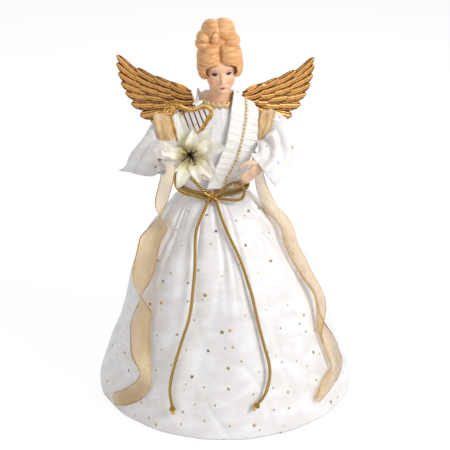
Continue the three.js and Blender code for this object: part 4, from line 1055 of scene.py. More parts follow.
RIGHT_SLEEVE = [
    ((0.3, 0, -2), (1, 0, 0), (0, 0, 1), 3.2, 3.2), ((2.5, 0, -5.5), (1, 0, 0), (0, 0, 1), 10.5, 9.5),
    ((8.5, -1, -8.5), (0.92, -0.1, -0.35), (0.3, 0, 1), 13, 12.5),
    ((16, -4.5, -14), (0.7, -0.25, -0.68), (0.68, 0, 0.72), 15.5, 14.5),
    ((21.5, -11, -22), (0.45, -0.42, -0.79), (0.86, 0.1, 0.45), 17, 17),
    ((26, -19, -29.5), (0.32, -0.42, -0.85), (0.9, 0.3, 0.2), 17.5, 20.5),
    ((29.5, -27, -37), (0.2, -0.36, -0.91), (0.87, 0.45, 0.06), 17.5, 23.5),
    ((31.5, -33, -43.5), (0.12, -0.3, -0.95), (0.85, 0.52, 0.03), 17, 25.5),
    ((33, -37, -48.5), (0.1, -0.25, -0.96), (0.85, 0.52, 0.05), 16.5, 30),
]


def between(table, share):
    """Smooth place between the stations, each of them taken as one row of numbers."""
    flat = [(*at, *aim, *outer, deep, high) for at, aim, outer, deep, high in table]
    at = share * (len(flat) - 1)
    k = min(int(at), len(flat) - 2)
    near = flat[max(k - 1, 0)], flat[k], flat[k + 1], flat[min(k + 2, len(flat) - 1)]
    return [spline(*four, at - k) for four in zip(*near)]


# %% Sleeve folds
SLEEVE_FOLDS, SLEEVE_FOLD_DEPTH, SLEEVE_GATHERS = 5, 4.4, 13
PUCKER_DEPTH, CRUSH_DEPTH, BELL_GROWTH = 1.9, 3.0, 0.08


def sleeve_point(table, share, angle, seed):
    """A place on the cloth in the space of a left sleeve, from the shoulder."""
    x, y, z, aim_x, aim_y, aim_z, outer_x, outer_y, outer_z, deep, high = between(table, share)
    aim = Vector((aim_x, aim_y, aim_z)).normalized()
    outer = Vector((outer_x, outer_y, outer_z))
    outer = (outer - aim * outer.dot(aim)).normalized()
    across = outer.cross(aim)
    place = Vector((math.cos(angle), math.sin(angle), 0))
    drift = noise.noise(place * 1.2 + Vector((seed, 2, share * 1.6)))
    fold = 0.5 - 0.5 * math.cos(SLEEVE_FOLDS * angle + 3 * drift + 2 * share)
    gather = abs(math.sin(SLEEVE_GATHERS * angle + 2 * drift))
    puckers = ease(0.02, 0.12, share) * (1 - ease(0.22, 0.48, share))
    crush = abs(noise.fractal(place * 1.3 + Vector((seed * 2, 0, share * 3.4)), 0.9, 2.1, 3))
    depth = (SLEEVE_FOLD_DEPTH * ease(0.2, 0.8, share) * fold + PUCKER_DEPTH * puckers * gather
             + CRUSH_DEPTH * crush * ease(0.1, 0.3, share))
    scale = (1 - depth / max(deep, 12)) * (1 + BELL_GROWTH * ease(0.86, 1.0, share))
    spread = across * deep * math.cos(angle) + outer * high * math.sin(angle)
    return Vector((x, y, z)) + spread * scale


# %% Sleeve cloth
SLEEVE_COLUMNS, SLEEVE_ROWS, SLEEVE_ROW_POWER = 96, 72, 0.85
SLEEVE_MAP_ROUND, SLEEVE_MAP_LONG, BESIDE_BODICE_Y = 0.13, 0.11, -32


def sleeve_grid(table, name, sign, cut_back):
    """Rows of a sleeve. The cut is where the arm comes out, and beside the bodice it stays clear."""
    shoulder = Vector((SHOULDER_X[name], 0, SHOULDER_Z))
    rows, maps = [], []
    for i in range(SLEEVE_ROWS + 1):
        down = (i / SLEEVE_ROWS) ** SLEEVE_ROW_POWER
        row = []
        for j in range(SLEEVE_COLUMNS):
            angle = TURN * j / SLEEVE_COLUMNS
            off = abs((angle - 1.5 * math.pi + math.pi) % TURN - math.pi)
            length = 1 - cut_back * (1 - ease(0.25, 0.95, off))
            point = sleeve_point(table, length * down, angle, 4 * sign)
            point = Vector((sign * point.x, point.y, point.z)) + shoulder
            if point.y > BESIDE_BODICE_Y:
                inner = sign * shoulder.x + 0.2 - 2.6 * ease(12, 20, shoulder.z - point.z)
                point.x = sign * max(sign * point.x, inner)
            row.append(point)
        rows.append(row)
        maps.append([(sign + SLEEVE_MAP_ROUND * j / SLEEVE_COLUMNS, 0.3 * sign + SLEEVE_MAP_LONG * down)
                     for j in range(SLEEVE_COLUMNS + 1)])
    return rows, maps


for name, table, sign, cut_back in (("left", LEFT_SLEEVE, 1, 0.0), ("right", RIGHT_SLEEVE, -1, 0.14)):
    rows, maps = sleeve_grid(table, name, sign, cut_back)
    sleeve, sleeve_area = cloth_piece(f"satin_sleeve_{name}", rows, maps, SATIN_THICK, -1, around=True)
    settle(sleeve, satin, f"arm_{name}", "satin", f"sleeve_{name}")
    print(sleeve.name, "cloth measures", round(sleeve_area, 4), "square metres")

# %% [markdown]
# ## Head
# The head is painted bisque: an oval doll's face on a round neck that spreads to a shoulder plate.
# Sculpting starts from lumps, as in clay: spheres for skull, cheeks, jaw, nose and lips are
# joined, remeshed into one skin and smoothed, and the eye sockets are then pressed in.

# %% Lumps that become one skin
HEAD_TURN, HEAD_TILT = math.radians(6), math.radians(-3)
HEAD_CENTER = Vector((NECK_SHIFT, -2, 352))
HEAD_FRAME = (Matrix.Translation(HEAD_CENTER) @ Matrix.Rotation(HEAD_TURN, 4, "Z")
              @ Matrix.Rotation(HEAD_TILT, 4, "Y"))


def lump(center, radii, frame=None):
    """A sphere primitive, stretched and set in place by its mesh."""
    bpy.ops.object.select_all(action="DESELECT")
    bpy.ops.mesh.primitive_uv_sphere_add(segments=32, ring_count=20, radius=1)
    piece = bpy.context.object
    shape = Matrix.Translation(Vector(center)) @ Matrix.Diagonal((*radii, 1))
    if frame:
        shape = frame @ shape
    piece.data.transform(Matrix.Scale(MM, 4) @ shape)
    return piece


def skin_of(name, lumps, voxel, smoothing):
    """One closed skin over lumps, with facets of about the voxel's size, in mm."""
    piece = joined(name, lumps)
    modify(piece, "REMESH", mode="VOXEL", voxel_size=voxel * MM, use_smooth_shade=True)
    return modify(piece, "SMOOTH", factor=0.5, iterations=smoothing)


DENT_REACH = 6


def press(piece, frame, dents):
    """Moves the skin near each place, given in the frame: where, how wide, and how far."""
    back = frame.inverted()
    for vertex in piece.data.vertices:
        place = back @ (vertex.co / MM)
        shift = Vector()
        for where, wide, move in dents:
            gap = Vector([(place[k] - where[k]) / wide[k] for k in range(3)]).length_squared
            if gap < DENT_REACH:
                shift += Vector(move) * math.exp(-gap)
        vertex.co = frame @ (place + shift) * MM
    piece.data.update()


# %% Face
def both_sides(place, *rest):
    """The same entry at -x and at x."""
    x, y, z = place
    return [((-x, y, z), *rest), (place, *rest)]


# Skull, face, jaw and chin, then cheeks and forehead, nose, and lips
FACE_LUMPS = [
    ((0, 1, 3), (17, 19, 19)), ((0, -6.5, -6.5), (14.4, 13.5, 13.5)), ((0, -8.5, -12), (11.2, 11.5, 8.0)),
    ((0, -15.4, -17.2), (4.8, 4.4, 3.3)),
    *both_sides((6.6, -13.0, -8.2), (6, 5.6, 6)), ((0, -13.5, 5.5), (12, 5.4, 7)),
    ((0, -18.9, -2.2), (1.6, 2.2, 4.2)), ((0, -20.9, -5.8), (1.8, 2.6, 2.6)),
    ((0, -22.0, -7.4), (1.8, 1.9, 1.5)), *both_sides((1.6, -20.4, -7.9), (1.2, 1.5, 1.1)),
    *both_sides((1.35, -19.0, -13.0), (2.1, 1.5, 0.75)), ((0, -18.7, -14.4), (2.5, 1.5, 0.9)),
]
# Height, radius and lean of each lump of the neck
NECK_LUMPS = [
    (314.5, 15.2, 0.6), (318, 15.0, 0.8), (321, 13.8, 1.0), (324.5, 12.4, 0.6), (329, 11.5, 0),
    (335, 11.4, 0),
]
# Sockets and the eyes in them, the line of the lips, under the lips, and under the nose
FACE_DENTS = [
    *both_sides((7.3, -18.4, 0.2), (3.4, 4, 2.4), (0, 1.7, 0)),
    *both_sides((7.3, -18.0, -0.2), (2.2, 4, 1.1), (0, -0.7, 0)),
    ((0, -19.3, -13.75), (3.0, 3, 0.45), (0, 0.7, 0)), ((0, -18.6, -16.3), (3, 3, 1.1), (0, 0.7, 0)),
    ((0, -19.6, -10.6), (0.7, 3, 1.2), (0, 0.35, 0)),
]
face_lumps = [lump(*shape, HEAD_FRAME) for shape in FACE_LUMPS]
neck_lumps = [lump((NECK_SHIFT - lean, 0.5, z), (radius, radius, 8)) for z, radius, lean in NECK_LUMPS]
head = skin_of("bisque_head", face_lumps + neck_lumps, 0.55, 6)
press(head, HEAD_FRAME, FACE_DENTS)

# %% [markdown]
# The paint on the bisque is a set of soft spots in the head's own space: blush on the cheeks,
# red lips, thin brows, and dark almond eyes under a fine lid line. A Mapping node turns the
# coordinates with the head.

# %% Bisque paint
def head_place(f):
    turned = HEAD_FRAME.inverted()
    return f.mapped(f.coordinates("Object"), Location=tuple(turned.translation * MM),
                    Rotation=tuple(turned.to_euler("XYZ")))


def bisque_finish():
    f = Finish("painted_bisque_face")
    x, y, z = (axis * (1 / MM) for axis in f.split(head_place(f)))
    front = 1 - y.ramp(-15.0, -11.0)
    side = x.size()

    def spot(across, rise, wide, high, low, top, mirrored=True):
        u = ((side if mirrored else x) - across) / wide
        v = (z - rise) / high
        return (1 - (u * u + v * v).ramp(low, top)) * front

    brow_rise = z - (4.6 - (side - 7.4) * (side - 7.4) * 0.05)
    brow = (1 - brow_rise.size().ramp(0.15, 0.55)) * (1 - (side - 7.6).size().ramp(2.4, 3.6)) * front
    lid_rise = z - (1.15 - (side - 7.3) * (side - 7.3) * 0.1)
    lid = (1 - lid_rise.size().ramp(0.3, 0.65)) * (1 - (side - 7.4).size().ramp(2.9, 3.8)) * front
    white = spot(7.3, 0.1, 3.0, 1.1, 0.85, 1.1)
    iris = spot(7.2, 0.1, 2.5, 1.6, 0.75, 1.1)
    lips = spot(1.2, -13.1, 2.0, 0.8, 0.6, 1.15).larger(spot(0, -14.2, 2.2, 0.9, 0.6, 1.15, False))
    mouth = spot(0, -13.7, 3.0, 0.4, 0.4, 1.1, False)
    blush = spot(9.2, -7.4, 5.2, 4.6, 0.0, 1.1)
    shade = spot(7.3, 1.6, 4.4, 2.8, 0.0, 1.2)
    # Painted shade: the neck is darker below the chin
    neck_shade = 1 - z.ramp(-31.0, -18.0)
    skin = f.mix(blush * 0.42, rgb(241, 196, 161), rgb(236, 144, 108))
    skin = f.mix(neck_shade * 0.7, skin, rgb(206, 150, 112))
    skin = f.mix(shade * 0.35, skin, rgb(190, 132, 100))
    skin = f.mix(lips * 0.85, skin, rgb(184, 80, 64))
    skin = f.mix(mouth * 0.7, skin, rgb(120, 40, 30))
    skin = f.mix(white * 0.8, skin, rgb(206, 180, 160))
    skin = f.mix(iris.larger(lid), skin, rgb(16, 8, 5))
    skin = f.mix(brow * 0.6, skin, rgb(120, 74, 42))
    grain = f.noise(f.coordinates("Object"), 900.0, 3.0)
    return f.surface({
        "Base Color": skin,
        "Roughness": 0.52 + grain * 0.12,
        "Coat Weight": 0.06,
        "Normal": f.bump(grain, 0.1 * MM, 0.3),
    })


bisque_face = bisque_finish()
settle(head, bisque_face, "root", "painted_bisque", "head")

# %% [markdown]
# ## Hair
# The hair is moulded with the head and painted: parted in the middle, rolled back on both sides,
# and piled in a dome of curls. Lumps give the masses. Where two of them meet, in the parting and
# along the hairline, the colour is darkened with painted shade, so each point keeps how deep in a crease it
# lies.

# %% Hair masses
BUN_RISE, HAIR_VOXEL, FINE_HAIR_VOXEL = 34, 0.7, 0.5
HAIR_ROLLS = [
    *both_sides((9.6, -1.5, 15), (13.8, 20.0, 17)), *both_sides((14.8, -2.5, 6.5), (9.0, 14.5, 13)),
    *both_sides((16.4, -3.0, 0.5), (6.4, 10.5, 7.8)),
    ((0, 8, 6), (21, 17, 19)), ((0, 9.5, -3), (14.5, 13, 11.5)),
    *both_sides((8.2, -2.5, 23.5), (12.6, 17, 9.0)),
]
HAIR_CURLS = [
    ((6.0, -1.5, 41.8), (11.4, 15, 12.2)), ((12.0, -1, 30.6), (10.0, 16.5, 8.2)),
    ((-4.6, -1.5, 42.0), (10.4, 14.5, 11.4)), ((-14.6, -3, 36.0), (7.8, 12, 7.6)),
    ((-16.4, -1.5, 29.6), (7.6, 13, 6.8)), ((-4.2, -11.0, 38.0), (5.0, 6.4, 8.6)),
    ((1.5, 2, BUN_RISE), (17, 16, 16.5)), ((-6.5, 10, 39), (10, 10, 12)), ((7, 10, 39), (10, 10, 12)),
    ((0, 14, 31), (13, 8, 13)),
]
FACE_OPENING = [((0, -20, -8), (15.4, 21, 13.6)), *both_sides((7.6, -20, 2.4), (8.8, 20.5, 7.6))]
hair_shapes = HAIR_ROLLS + HAIR_CURLS
hair = skin_of("moulded_hair", [lump(*shape, HEAD_FRAME) for shape in hair_shapes], HAIR_VOXEL, 0)
opening = skin_of("face_opening", [lump(*shape, HEAD_FRAME) for shape in FACE_OPENING], HAIR_VOXEL, 6)
modify(hair, "BOOLEAN", operation="DIFFERENCE", object=opening, solver="MANIFOLD")
bpy.data.objects.remove(opening)
hair = skin_of("moulded_hair", [hair], FINE_HAIR_VOXEL, 5)

# %% Parting and strands
STRAND_HEIGHT, PARTING_WIDTH, PARTING_DEPTH = 0.05, 1.1, 1.1


def lump_reach(place, shape):
    """Squared distance from a lump's middle, in shares of its radii."""
    center, radii = shape
    return sum(((place[k] - center[k]) / radii[k]) ** 2 for k in range(3))


def strand_wave(place):
    """Height of the strands, -1 to 1, at a place in the head's space."""
    x, y, z = place
    drift = 1.6 * noise.noise(place * 0.12) + 0.35 * noise.noise(place * 0.45)
    if z > BUN_RISE - 5:
        center, _ = min(HAIR_CURLS, key=lambda curl: lump_reach(place, curl))
        return math.sin(math.atan2(z - center[2], abs(x - center[0]) + 2) * 7 + y * 0.5 + drift)
    return math.sin((z + 0.28 * abs(x) + 0.18 * y) * TURN / 2.2 + drift * 1.6)


def crease_depth(place):
    """1 in the groove between two masses and under the cut hairline, 0 on the open surface."""
    reaches = sorted(math.sqrt(lump_reach(place, shape)) for shape in hair_shapes)
    cut = clamp((0.985 - reaches[0]) / 0.06) if place.y < -4 and place.z < 14 else 0.0
    strength = (0.35 if place.z < BUN_RISE - 8 else 1.0) * (1 - 0.7 * ease(-8, 4, place.y))
    return max(cut, math.exp(-((reaches[1] - reaches[0]) / 0.035) ** 2) * strength)


back = HEAD_FRAME.inverted()
# Painted shade for each point: deep in a crease, in the parting or under the hairline
crease_shade = []
normals = [back.to_3x3() @ vertex.normal for vertex in hair.data.vertices]
for vertex, normal in zip(hair.data.vertices, normals):
    place = back @ (vertex.co / MM)
    parting = math.exp(-(place.x / PARTING_WIDTH) ** 2) * (1 - ease(6, 14, place.y))
    parting *= 1 - ease(BUN_RISE - 9, BUN_RISE - 5, place.z)
    lift = STRAND_HEIGHT * strand_wave(place) * (1 - parting) - PARTING_DEPTH * parting
    crease_shade.append(max(crease_depth(place), 0.75 * parting))
    vertex.co = HEAD_FRAME @ (place + normal * lift) * MM
hair.data.update()
layer = hair.data.uv_layers.active or hair.data.uv_layers.new(name="UVMap")
# The map's first number carries the painted shade of the creases
crease_shade_map = [number for loop in hair.data.loops for number in (crease_shade[loop.vertex_index], 0.0)]
layer.data.foreach_set("uv", crease_shade_map)
print("deep in a crease:", sum(value > 0.5 for value in crease_shade), "of", len(crease_shade), "points")

# %% Hair paint
def hair_finish():
    f = Finish("hair_paint_strands")
    place = head_place(f)
    x, y, z = f.split(place)
    crease, _, _ = f.split(f.coordinates("UV"))
    drift = f.noise(place, 90.0, 3.0)
    lanes = ((z + x.size() * 0.28 + y * 0.18) * (TURN / (2.1 * MM)) + drift * 9).sine()
    tone = f.noise(f.mapped(place, Scale=(1, 1, 4)), 110.0, 4.0)
    lit = (tone * 0.9 + lanes * 0.07 + 0.05).ramp(0.18, 0.78)
    paint = f.mix(lit, rgb(208, 136, 74), rgb(250, 200, 142))
    return f.surface({
        # Painted shade darkens the paint in the creases, the parting and under the hairline
        "Base Color": f.mix(crease * 0.8, paint, rgb(140, 84, 36)),
        "Roughness": 0.48 + tone * 0.1,
        "Coat Weight": 0.08,
        "Normal": f.bump(lanes * 0.3 + tone * 0.7, 0.2 * MM, 0.35),
    })


hair_paint = hair_finish()
settle(hair, hair_paint, "root", "hair_paint", "hair")

# %% [markdown]
# ## Lace
# Fine white net is gathered into a band that comes over the angel's left shoulder, beside the
# neck, and crosses the chest to the waist. A small collar of the same net stands behind the
# neck. The band is stretched between three lines, its stitching and its two free edges, and
# shallow pleats grow from the stitching outwards. The net itself is in the finish.

# %% Lace finish
def lace_finish():
    f = Finish("lace_net")
    across, along, _ = f.split(f.coordinates("UV"))
    flat = f.node("ShaderNodeCombineXYZ", inputs={0: across * 24, 1: along * 9})
    net = f.node("ShaderNodeTexVoronoi", {"voronoi_dimensions": "2D", "feature": "DISTANCE_TO_EDGE"},
                 {"Vector": flat, "Scale": 1.5})
    thread = 1 - net.ramp(0.05, 0.22)
    cloudy = f.noise(f.mapped(flat, Scale=(0.3, 0.3, 1)), 1.0, 3.0).ramp(0.35, 0.65)
    hem = across.ramp(0.93, 0.99)
    dense = thread.larger(cloudy * 0.8).larger(hem)
    return f.surface({
        "Base Color": f.mix(dense, rgb(243, 240, 236), rgb(251, 249, 246)),
        "Roughness": 0.65,
        "Alpha": dense * 0.12 + 0.88,
        "Sheen Weight": 0.2,
        "Normal": f.bump(dense, 0.1 * MM, 0.2),
    })


lace = lace_finish()
print("made", lace.name)

# %% Ruffle
STITCHED = [
    (17.5, 15, 311), (19.8, 7, 319), (21.1, -3, 321.9), (21.6, -12, 315.5), (21.2, -20, 305),
    (19.6, -24.5, 296.5), (17.8, -28.5, 287.5), (15.3, -32, 278), (11.7, -33.5, 266.5), (6.7, -35, 256.2),
    (1.7, -36, 247.5), (-2.5, -36.5, 236),
]
INNER_EDGE = [
    (5, 15, 318), (7.4, 6, 327), (8.8, -4, 331), (8.2, -12.5, 326), (6.2, -19.5, 315.5), (5, -25, 304.5),
    (3, -30, 295), (0.6, -33.5, 283), (-4.2, -35, 272.2), (-7.8, -35.5, 262.5), (-13.4, -35.5, 252),
    (-19, -36.5, 235),
]
OUTER_EDGE = [
    (30, 14, 305), (32.5, 6, 313.5), (34, -4, 316.5), (34.4, -12, 313), (33.6, -17, 305), (33.4, -19, 296.5),
    (34.4, -19, 287), (33, -20, 277.5), (28, -23, 267.5), (19.5, -28, 259.5), (14.5, -31.5, 250.5),
    (8.5, -35, 237),
]
RUFFLE_STEPS, RUFFLE_COLUMNS, RUFFLE_PLEATS = 220, 9, 17
LACE_THICK, LACE_MAP_STEP, EDGE_DROOP = 0.25, 8, 5.5


def stepped(points, count):
    line, length = even_line(points, 0.5)
    return [line[round(k * (len(line) - 1) / count)] for k in range(count + 1)], length


def half_band(name, edge, sign):
    """One half of the band, from its stitching to a free edge."""
    seam, length = stepped(STITCHED, RUFFLE_STEPS)
    free, _ = stepped(edge, RUFFLE_STEPS)
    rows, maps = [], []
    for i in range(RUFFLE_STEPS + 1):
        share = i / RUFFLE_STEPS
        along = heading(seam, i)
        out = (free[i] - seam[i]).cross(along).normalized() * sign
        turn = TURN * RUFFLE_PLEATS * share + 1.3 * math.sin(share * 17 + sign)
        pleat = 0.38 * math.sin(turn) + 0.16 * math.sin(2.3 * turn + 1)
        row = []
        for j in range(RUFFLE_COLUMNS + 1):
            u = j / RUFFLE_COLUMNS
            lift = pleat * ease(0, 0.6, u) + 1.6 * u * (1 - u)
            droop = EDGE_DROOP * ease(0.55, 1, u) * (1 - ease(0.26, 0.38, share)) if sign > 0 else 0.0
            sway = along * 0.5 * math.cos(turn) * u
            row.append(seam[i].lerp(free[i], u) + out * lift + sway - Vector((0, 0, droop)))
        rows.append(row)
        maps.append([(j / RUFFLE_COLUMNS, share * length / LACE_MAP_STEP)
                     for j in range(RUFFLE_COLUMNS + 1)])
    piece, cloth = cloth_piece(name, rows, maps, LACE_THICK)
    return piece, cloth, length * MM


for side, edge, sign in (("inner", INNER_EDGE, -1), ("outer", OUTER_EDGE, 1)):
    flounce, cloth, length = half_band(f"lace_flounce_{side}", edge, sign)
    settle(flounce, lace, "root", "lace", "lace_ruffle")
    print(flounce.name, "takes", round(cloth, 4), "square metres of lace")

# %% [markdown]
# A strand of small gold beads covers the ruffle's stitching, between two fine cords. The
# neckline has a wavy braid, which is one thick and one thin cord on the same wave.

# %% Bead strand
BEAD_STEP, STRAND_BEAD, LARGE_STRAND_BEAD = 1.9, 0.8, 1.05
EDGE_STEP, EDGE_ASIDE, EDGE_RADIUS = 1.0, 1.2, 0.35


def steady(radius):
    return [(0, radius), (1, radius)]


def round_tube(line, radii, hint, sides=8, crest=(0.35, 1.0)):
    """Rings of a tube whose radius goes along a list, brightest towards the front."""
    rows, maps = [], []
    for i, (point, side, up) in enumerate(frames_along(line, hint)):
        radius = lookup(radii, i / (len(line) - 1))
        angles = [TURN * k / sides for k in range(sides)]
        rows.append([point + spoke(side, up, a) * radius for a in angles])
        maps.append([(lerp(*crest, 0.5 - 0.5 * math.cos(a)), i * 0.02) for a in angles + [TURN]])
    return rows, maps


lifted = [Vector(place) + Vector((0.2, -0.95, 0.6)) for place in STITCHED[1:]]
bead_line, bead_length = even_line(lifted, BEAD_STEP)
beads = [bead_at(point, STRAND_BEAD if k % 3 else LARGE_STRAND_BEAD, 0.3 + 0.7 * (k % 2))
         for k, point in enumerate(bead_line)]
line, _ = even_line(lifted, EDGE_STEP)
edges = [round_tube([p + Vector((sign * EDGE_ASIDE, 0.3, 0)) for p in line], steady(EDGE_RADIUS), (0, 1, 0))
         for sign in (1, -1)]
strand = joined("gold_bead_strand", [tubes_object("bead_edges", edges)] + beads)
settle(strand, braid_gold, "root", "gold_braid", "ruffle_braid")
print("strand has", len(beads), "beads on", round(bead_length), "mm")

# %% Neckline braid
NECKLINE_RADIUS, NECKLINE_Z, NECK_WAVES, WAVE_STEPS = 16.4, 319.2, 17, 12
WAVE_HEIGHT, WAVE_IN, WAVE_CURL = 1.8, 0.6, 0.035
waves = []
for thick, drop, grow in ((1.4, 0, 0), (0.9, 1.6, 0.6)):
    loop = []
    for k in range(NECK_WAVES * WAVE_STEPS):
        turn = TURN * k / WAVE_STEPS
        angle = turn / NECK_WAVES + 0.05 + WAVE_CURL * math.sin(2 * turn)
        reach = NECKLINE_RADIUS + grow - WAVE_IN * math.sin(turn)
        rise = WAVE_HEIGHT * math.sin(turn) - drop
        loop.append((NECK_SHIFT + reach * math.cos(angle), reach * math.sin(angle), NECKLINE_Z + rise))
    line, _ = even_line(loop, 0.6, closed=True)
    waves.append(round_tube(line, steady(thick), (0, 0, 1), crest=(0.3, 1.0)))
neckline = tubes_object("gold_neckline_braid", waves)
settle(neckline, braid_gold, "root", "gold_braid", "neckline_braid")

# %% Collar
COLLAR_FROM, COLLAR_TO, COLLAR_PLEATS = math.radians(30), math.radians(200), 7
COLLAR_STEPS, COLLAR_COLUMNS = COLLAR_PLEATS * 16, 8
COLLAR_HEIGHT, COLLAR_RADIUS, COLLAR_Z, COLLAR_SPREAD = 14.5, 18.3, 317.6, 11.5
rows, maps = [], []
for i in range(COLLAR_STEPS + 1):
    share = i / COLLAR_STEPS
    angle = lerp(COLLAR_FROM, COLLAR_TO, share)
    turn = TURN * COLLAR_PLEATS * share
    point = max(0.0, 1 - abs(share - 0.86) / 0.16)
    height = COLLAR_HEIGHT * (0.52 + 0.52 * point) * (0.15 + 0.85 * clamp((1 - share) / 0.1))
    spread = COLLAR_SPREAD * ease(0.72, 1, share)
    row = []
    for j in range(COLLAR_COLUMNS + 1):
        u = j / COLLAR_COLUMNS
        reach = COLLAR_RADIUS + spread * (1 - u) + 4.6 * u ** 1.3 + 0.7 * math.sin(turn) * ease(0.1, 1, u)
        leaned = angle + 0.03 * math.cos(turn) * u
        row.append((NECK_SHIFT + reach * math.cos(leaned), reach * math.sin(leaned), COLLAR_Z + height * u))
    rows.append(row)
    maps.append([(j / COLLAR_COLUMNS, share * COLLAR_PLEATS) for j in range(COLLAR_COLUMNS + 1)])
collar, collar_area = cloth_piece("lace_collar_fan", rows, maps, LACE_THICK)
settle(collar, lace, "root", "lace", "lace_collar")

# %% [markdown]
# ## Hands
# The hands are bisque too. The left one is open, with its thumb held away from the fingers, and
# the right one is closed on the harp. Each finger is a chain of shrinking balls that the
# remesh melts into one, and both hands come from the same chains, turned at the wrist.

# %% Hand
FINGER_ROOTS, BALL_STEP = (-4.7, -1.6, 1.5, 4.5), 1.3
WRIST_TAPER, FINGER_TAPER, THUMB_TAPER = (3.4, 4.6), (1.85, 1.4), (2.8, 1.7)


def ball_chain(stops, first, last, frame):
    line, _ = even_line(stops, BALL_STEP)
    return [lump(point, (lerp(first, last, k / len(line)),) * 3, frame) for k, point in enumerate(line)]


def hand_lumps(frame, longest, curl, thumb):
    """Palm, wrist, fingers and thumb. The wrist is at the frame's origin, the fingers go along x."""
    lumps = [lump((7.5, 0, 0.6), (8.6, 3.6, 6.9), frame), lump((11.5, -0.4, 0), (4.4, 3.2, 6.6), frame)]
    lumps += ball_chain([(-0.5, 0, 0), (2, 0, 0), (5, 0, 0)], *WRIST_TAPER, frame)
    for i, z in enumerate(FINGER_ROOTS):
        reach = longest - 0.9 * abs(i - 1.6)
        stops = [(12, -0.4, z), (reach - 4.5, -1.2, z * 1.04), (reach, -1.2 - curl * 0.45, z),
                 (reach - curl * 0.2, -1.2 - curl, z * 0.92)]
        lumps += ball_chain(stops, *FINGER_TAPER, frame)
    return lumps + ball_chain(thumb, *THUMB_TAPER, frame)


def bisque_plain_finish():
    f = Finish("painted_bisque_plain")
    place = f.coordinates("Object")
    flush = f.noise(place, 130.0, 3.0)
    return f.surface({
        "Base Color": f.mix(flush.ramp(0.35, 0.75) * 0.45, rgb(238, 203, 174), rgb(228, 168, 138)),
        "Roughness": 0.5,
        "Coat Weight": 0.08,
        "Normal": f.bump(flush, 0.15 * MM, 0.3),
    })


bisque_plain = bisque_plain_finish()
OPEN_THUMB = [(3.5, 0.5, 5.5), (6.5, 1.6, 10.5), (11, 1.8, 14), (17.5, 0.6, 14.6)]
CLOSED_THUMB = [(4.5, -0.8, 4.5), (9.5, -2.6, 8.0), (13.5, -4.8, 8.8), (17, -7.2, 6.8)]
for side, wrist, turn, tilt, longest, curl, thumb in (
    ("left", (36.7, -49.1, 266.8), 200, 38, 24.5, 4.5, OPEN_THUMB),
    ("right", (-51.7, -50.2, 270), -38, 0, 19.6, 7.0, CLOSED_THUMB),
):
    frame_here = Matrix.Translation(Vector(wrist)) @ Matrix.Rotation(math.radians(turn), 4, "Z")
    frame_here = frame_here @ Matrix.Rotation(math.radians(tilt), 4, "Y")
    hand = skin_of(f"bisque_hand_{side}", hand_lumps(frame_here, longest, curl, thumb), 0.4, 2)
    settle(hand, bisque_plain, f"arm_{side}", "painted_bisque", f"hand_{side}")

# %% [markdown]
# ## Wings
# Each wing is a gold moulding of overlapping feathers, in rows that get shorter towards the
# shoulder, under a thick front edge. Every feather is a closed blade with a raised rib, written
# once as a function of its root, tip and width, so that both wings use the same list.

# %% Feather list
# Root, tip and half width of each feather, from the long row to the short one
FEATHER_ROWS = [
    [((50, 35), (91.5, 62.5), 4.2), ((49, 32), (92, 54), 5), ((46, 29), (90.5, 43.5), 5.6),
     ((42, 25), (88, 33), 6), ((38, 22), (83.5, 22.5), 6), ((33, 19), (77.5, 10.5), 6.2),
     ((28, 16.5), (68, -2), 6.2), ((22, 14), (56.5, -7.8), 6.2), ((17, 11), (43, -8), 6.2),
     ((12, 8), (28, -6), 6)],
    [((36, 35), (70.5, 49.5), 4.4), ((34, 31), (72, 41.5), 5.2), ((30, 27), (68.5, 31.5), 5.6),
     ((26, 23), (62.5, 21), 5.6), ((22, 19.5), (54, 11), 5.6), ((18, 16), (44, 4.5), 5.6),
     ((12, 12), (31, 2), 5.4)],
    [((21, 33), (51, 42), 4.2), ((19, 29.5), (52, 34), 4.8), ((16, 26), (48, 25.5), 5),
     ((14, 22), (40.5, 16.5), 5), ((11, 17), (30, 11), 4.8)],
    [((12, 28), (33.5, 37), 4), ((11, 24), (34, 29), 4.4), ((10, 19), (29.5, 20), 4.2),
     ((9, 13), (21, 13), 3.8)],
]
WING_BONE = [
    (5.2, 0, 2), (7.8, -0.2, 7), (10.2, -0.8, 13), (12.5, -1.6, 21.5), (17, -2.6, 29.5), (25, -2.8, 34),
    (36, -2.4, 35.5), (48, -1.8, 36.8), (58, -1.2, 40.5), (68, -0.8, 45),
]
BONE_TAPER = [(0, 2.2), (0.15, 2.6), (0.3, 3.4), (0.6, 2.8), (1, 1.0)]

# %% Feather blades
BLADE_ROWS, BLADE_COLUMNS, BLADE_ARCH, RIB_HEIGHT, BLADE_TUCK = 16, 10, 1.15, 0.45, 0.55


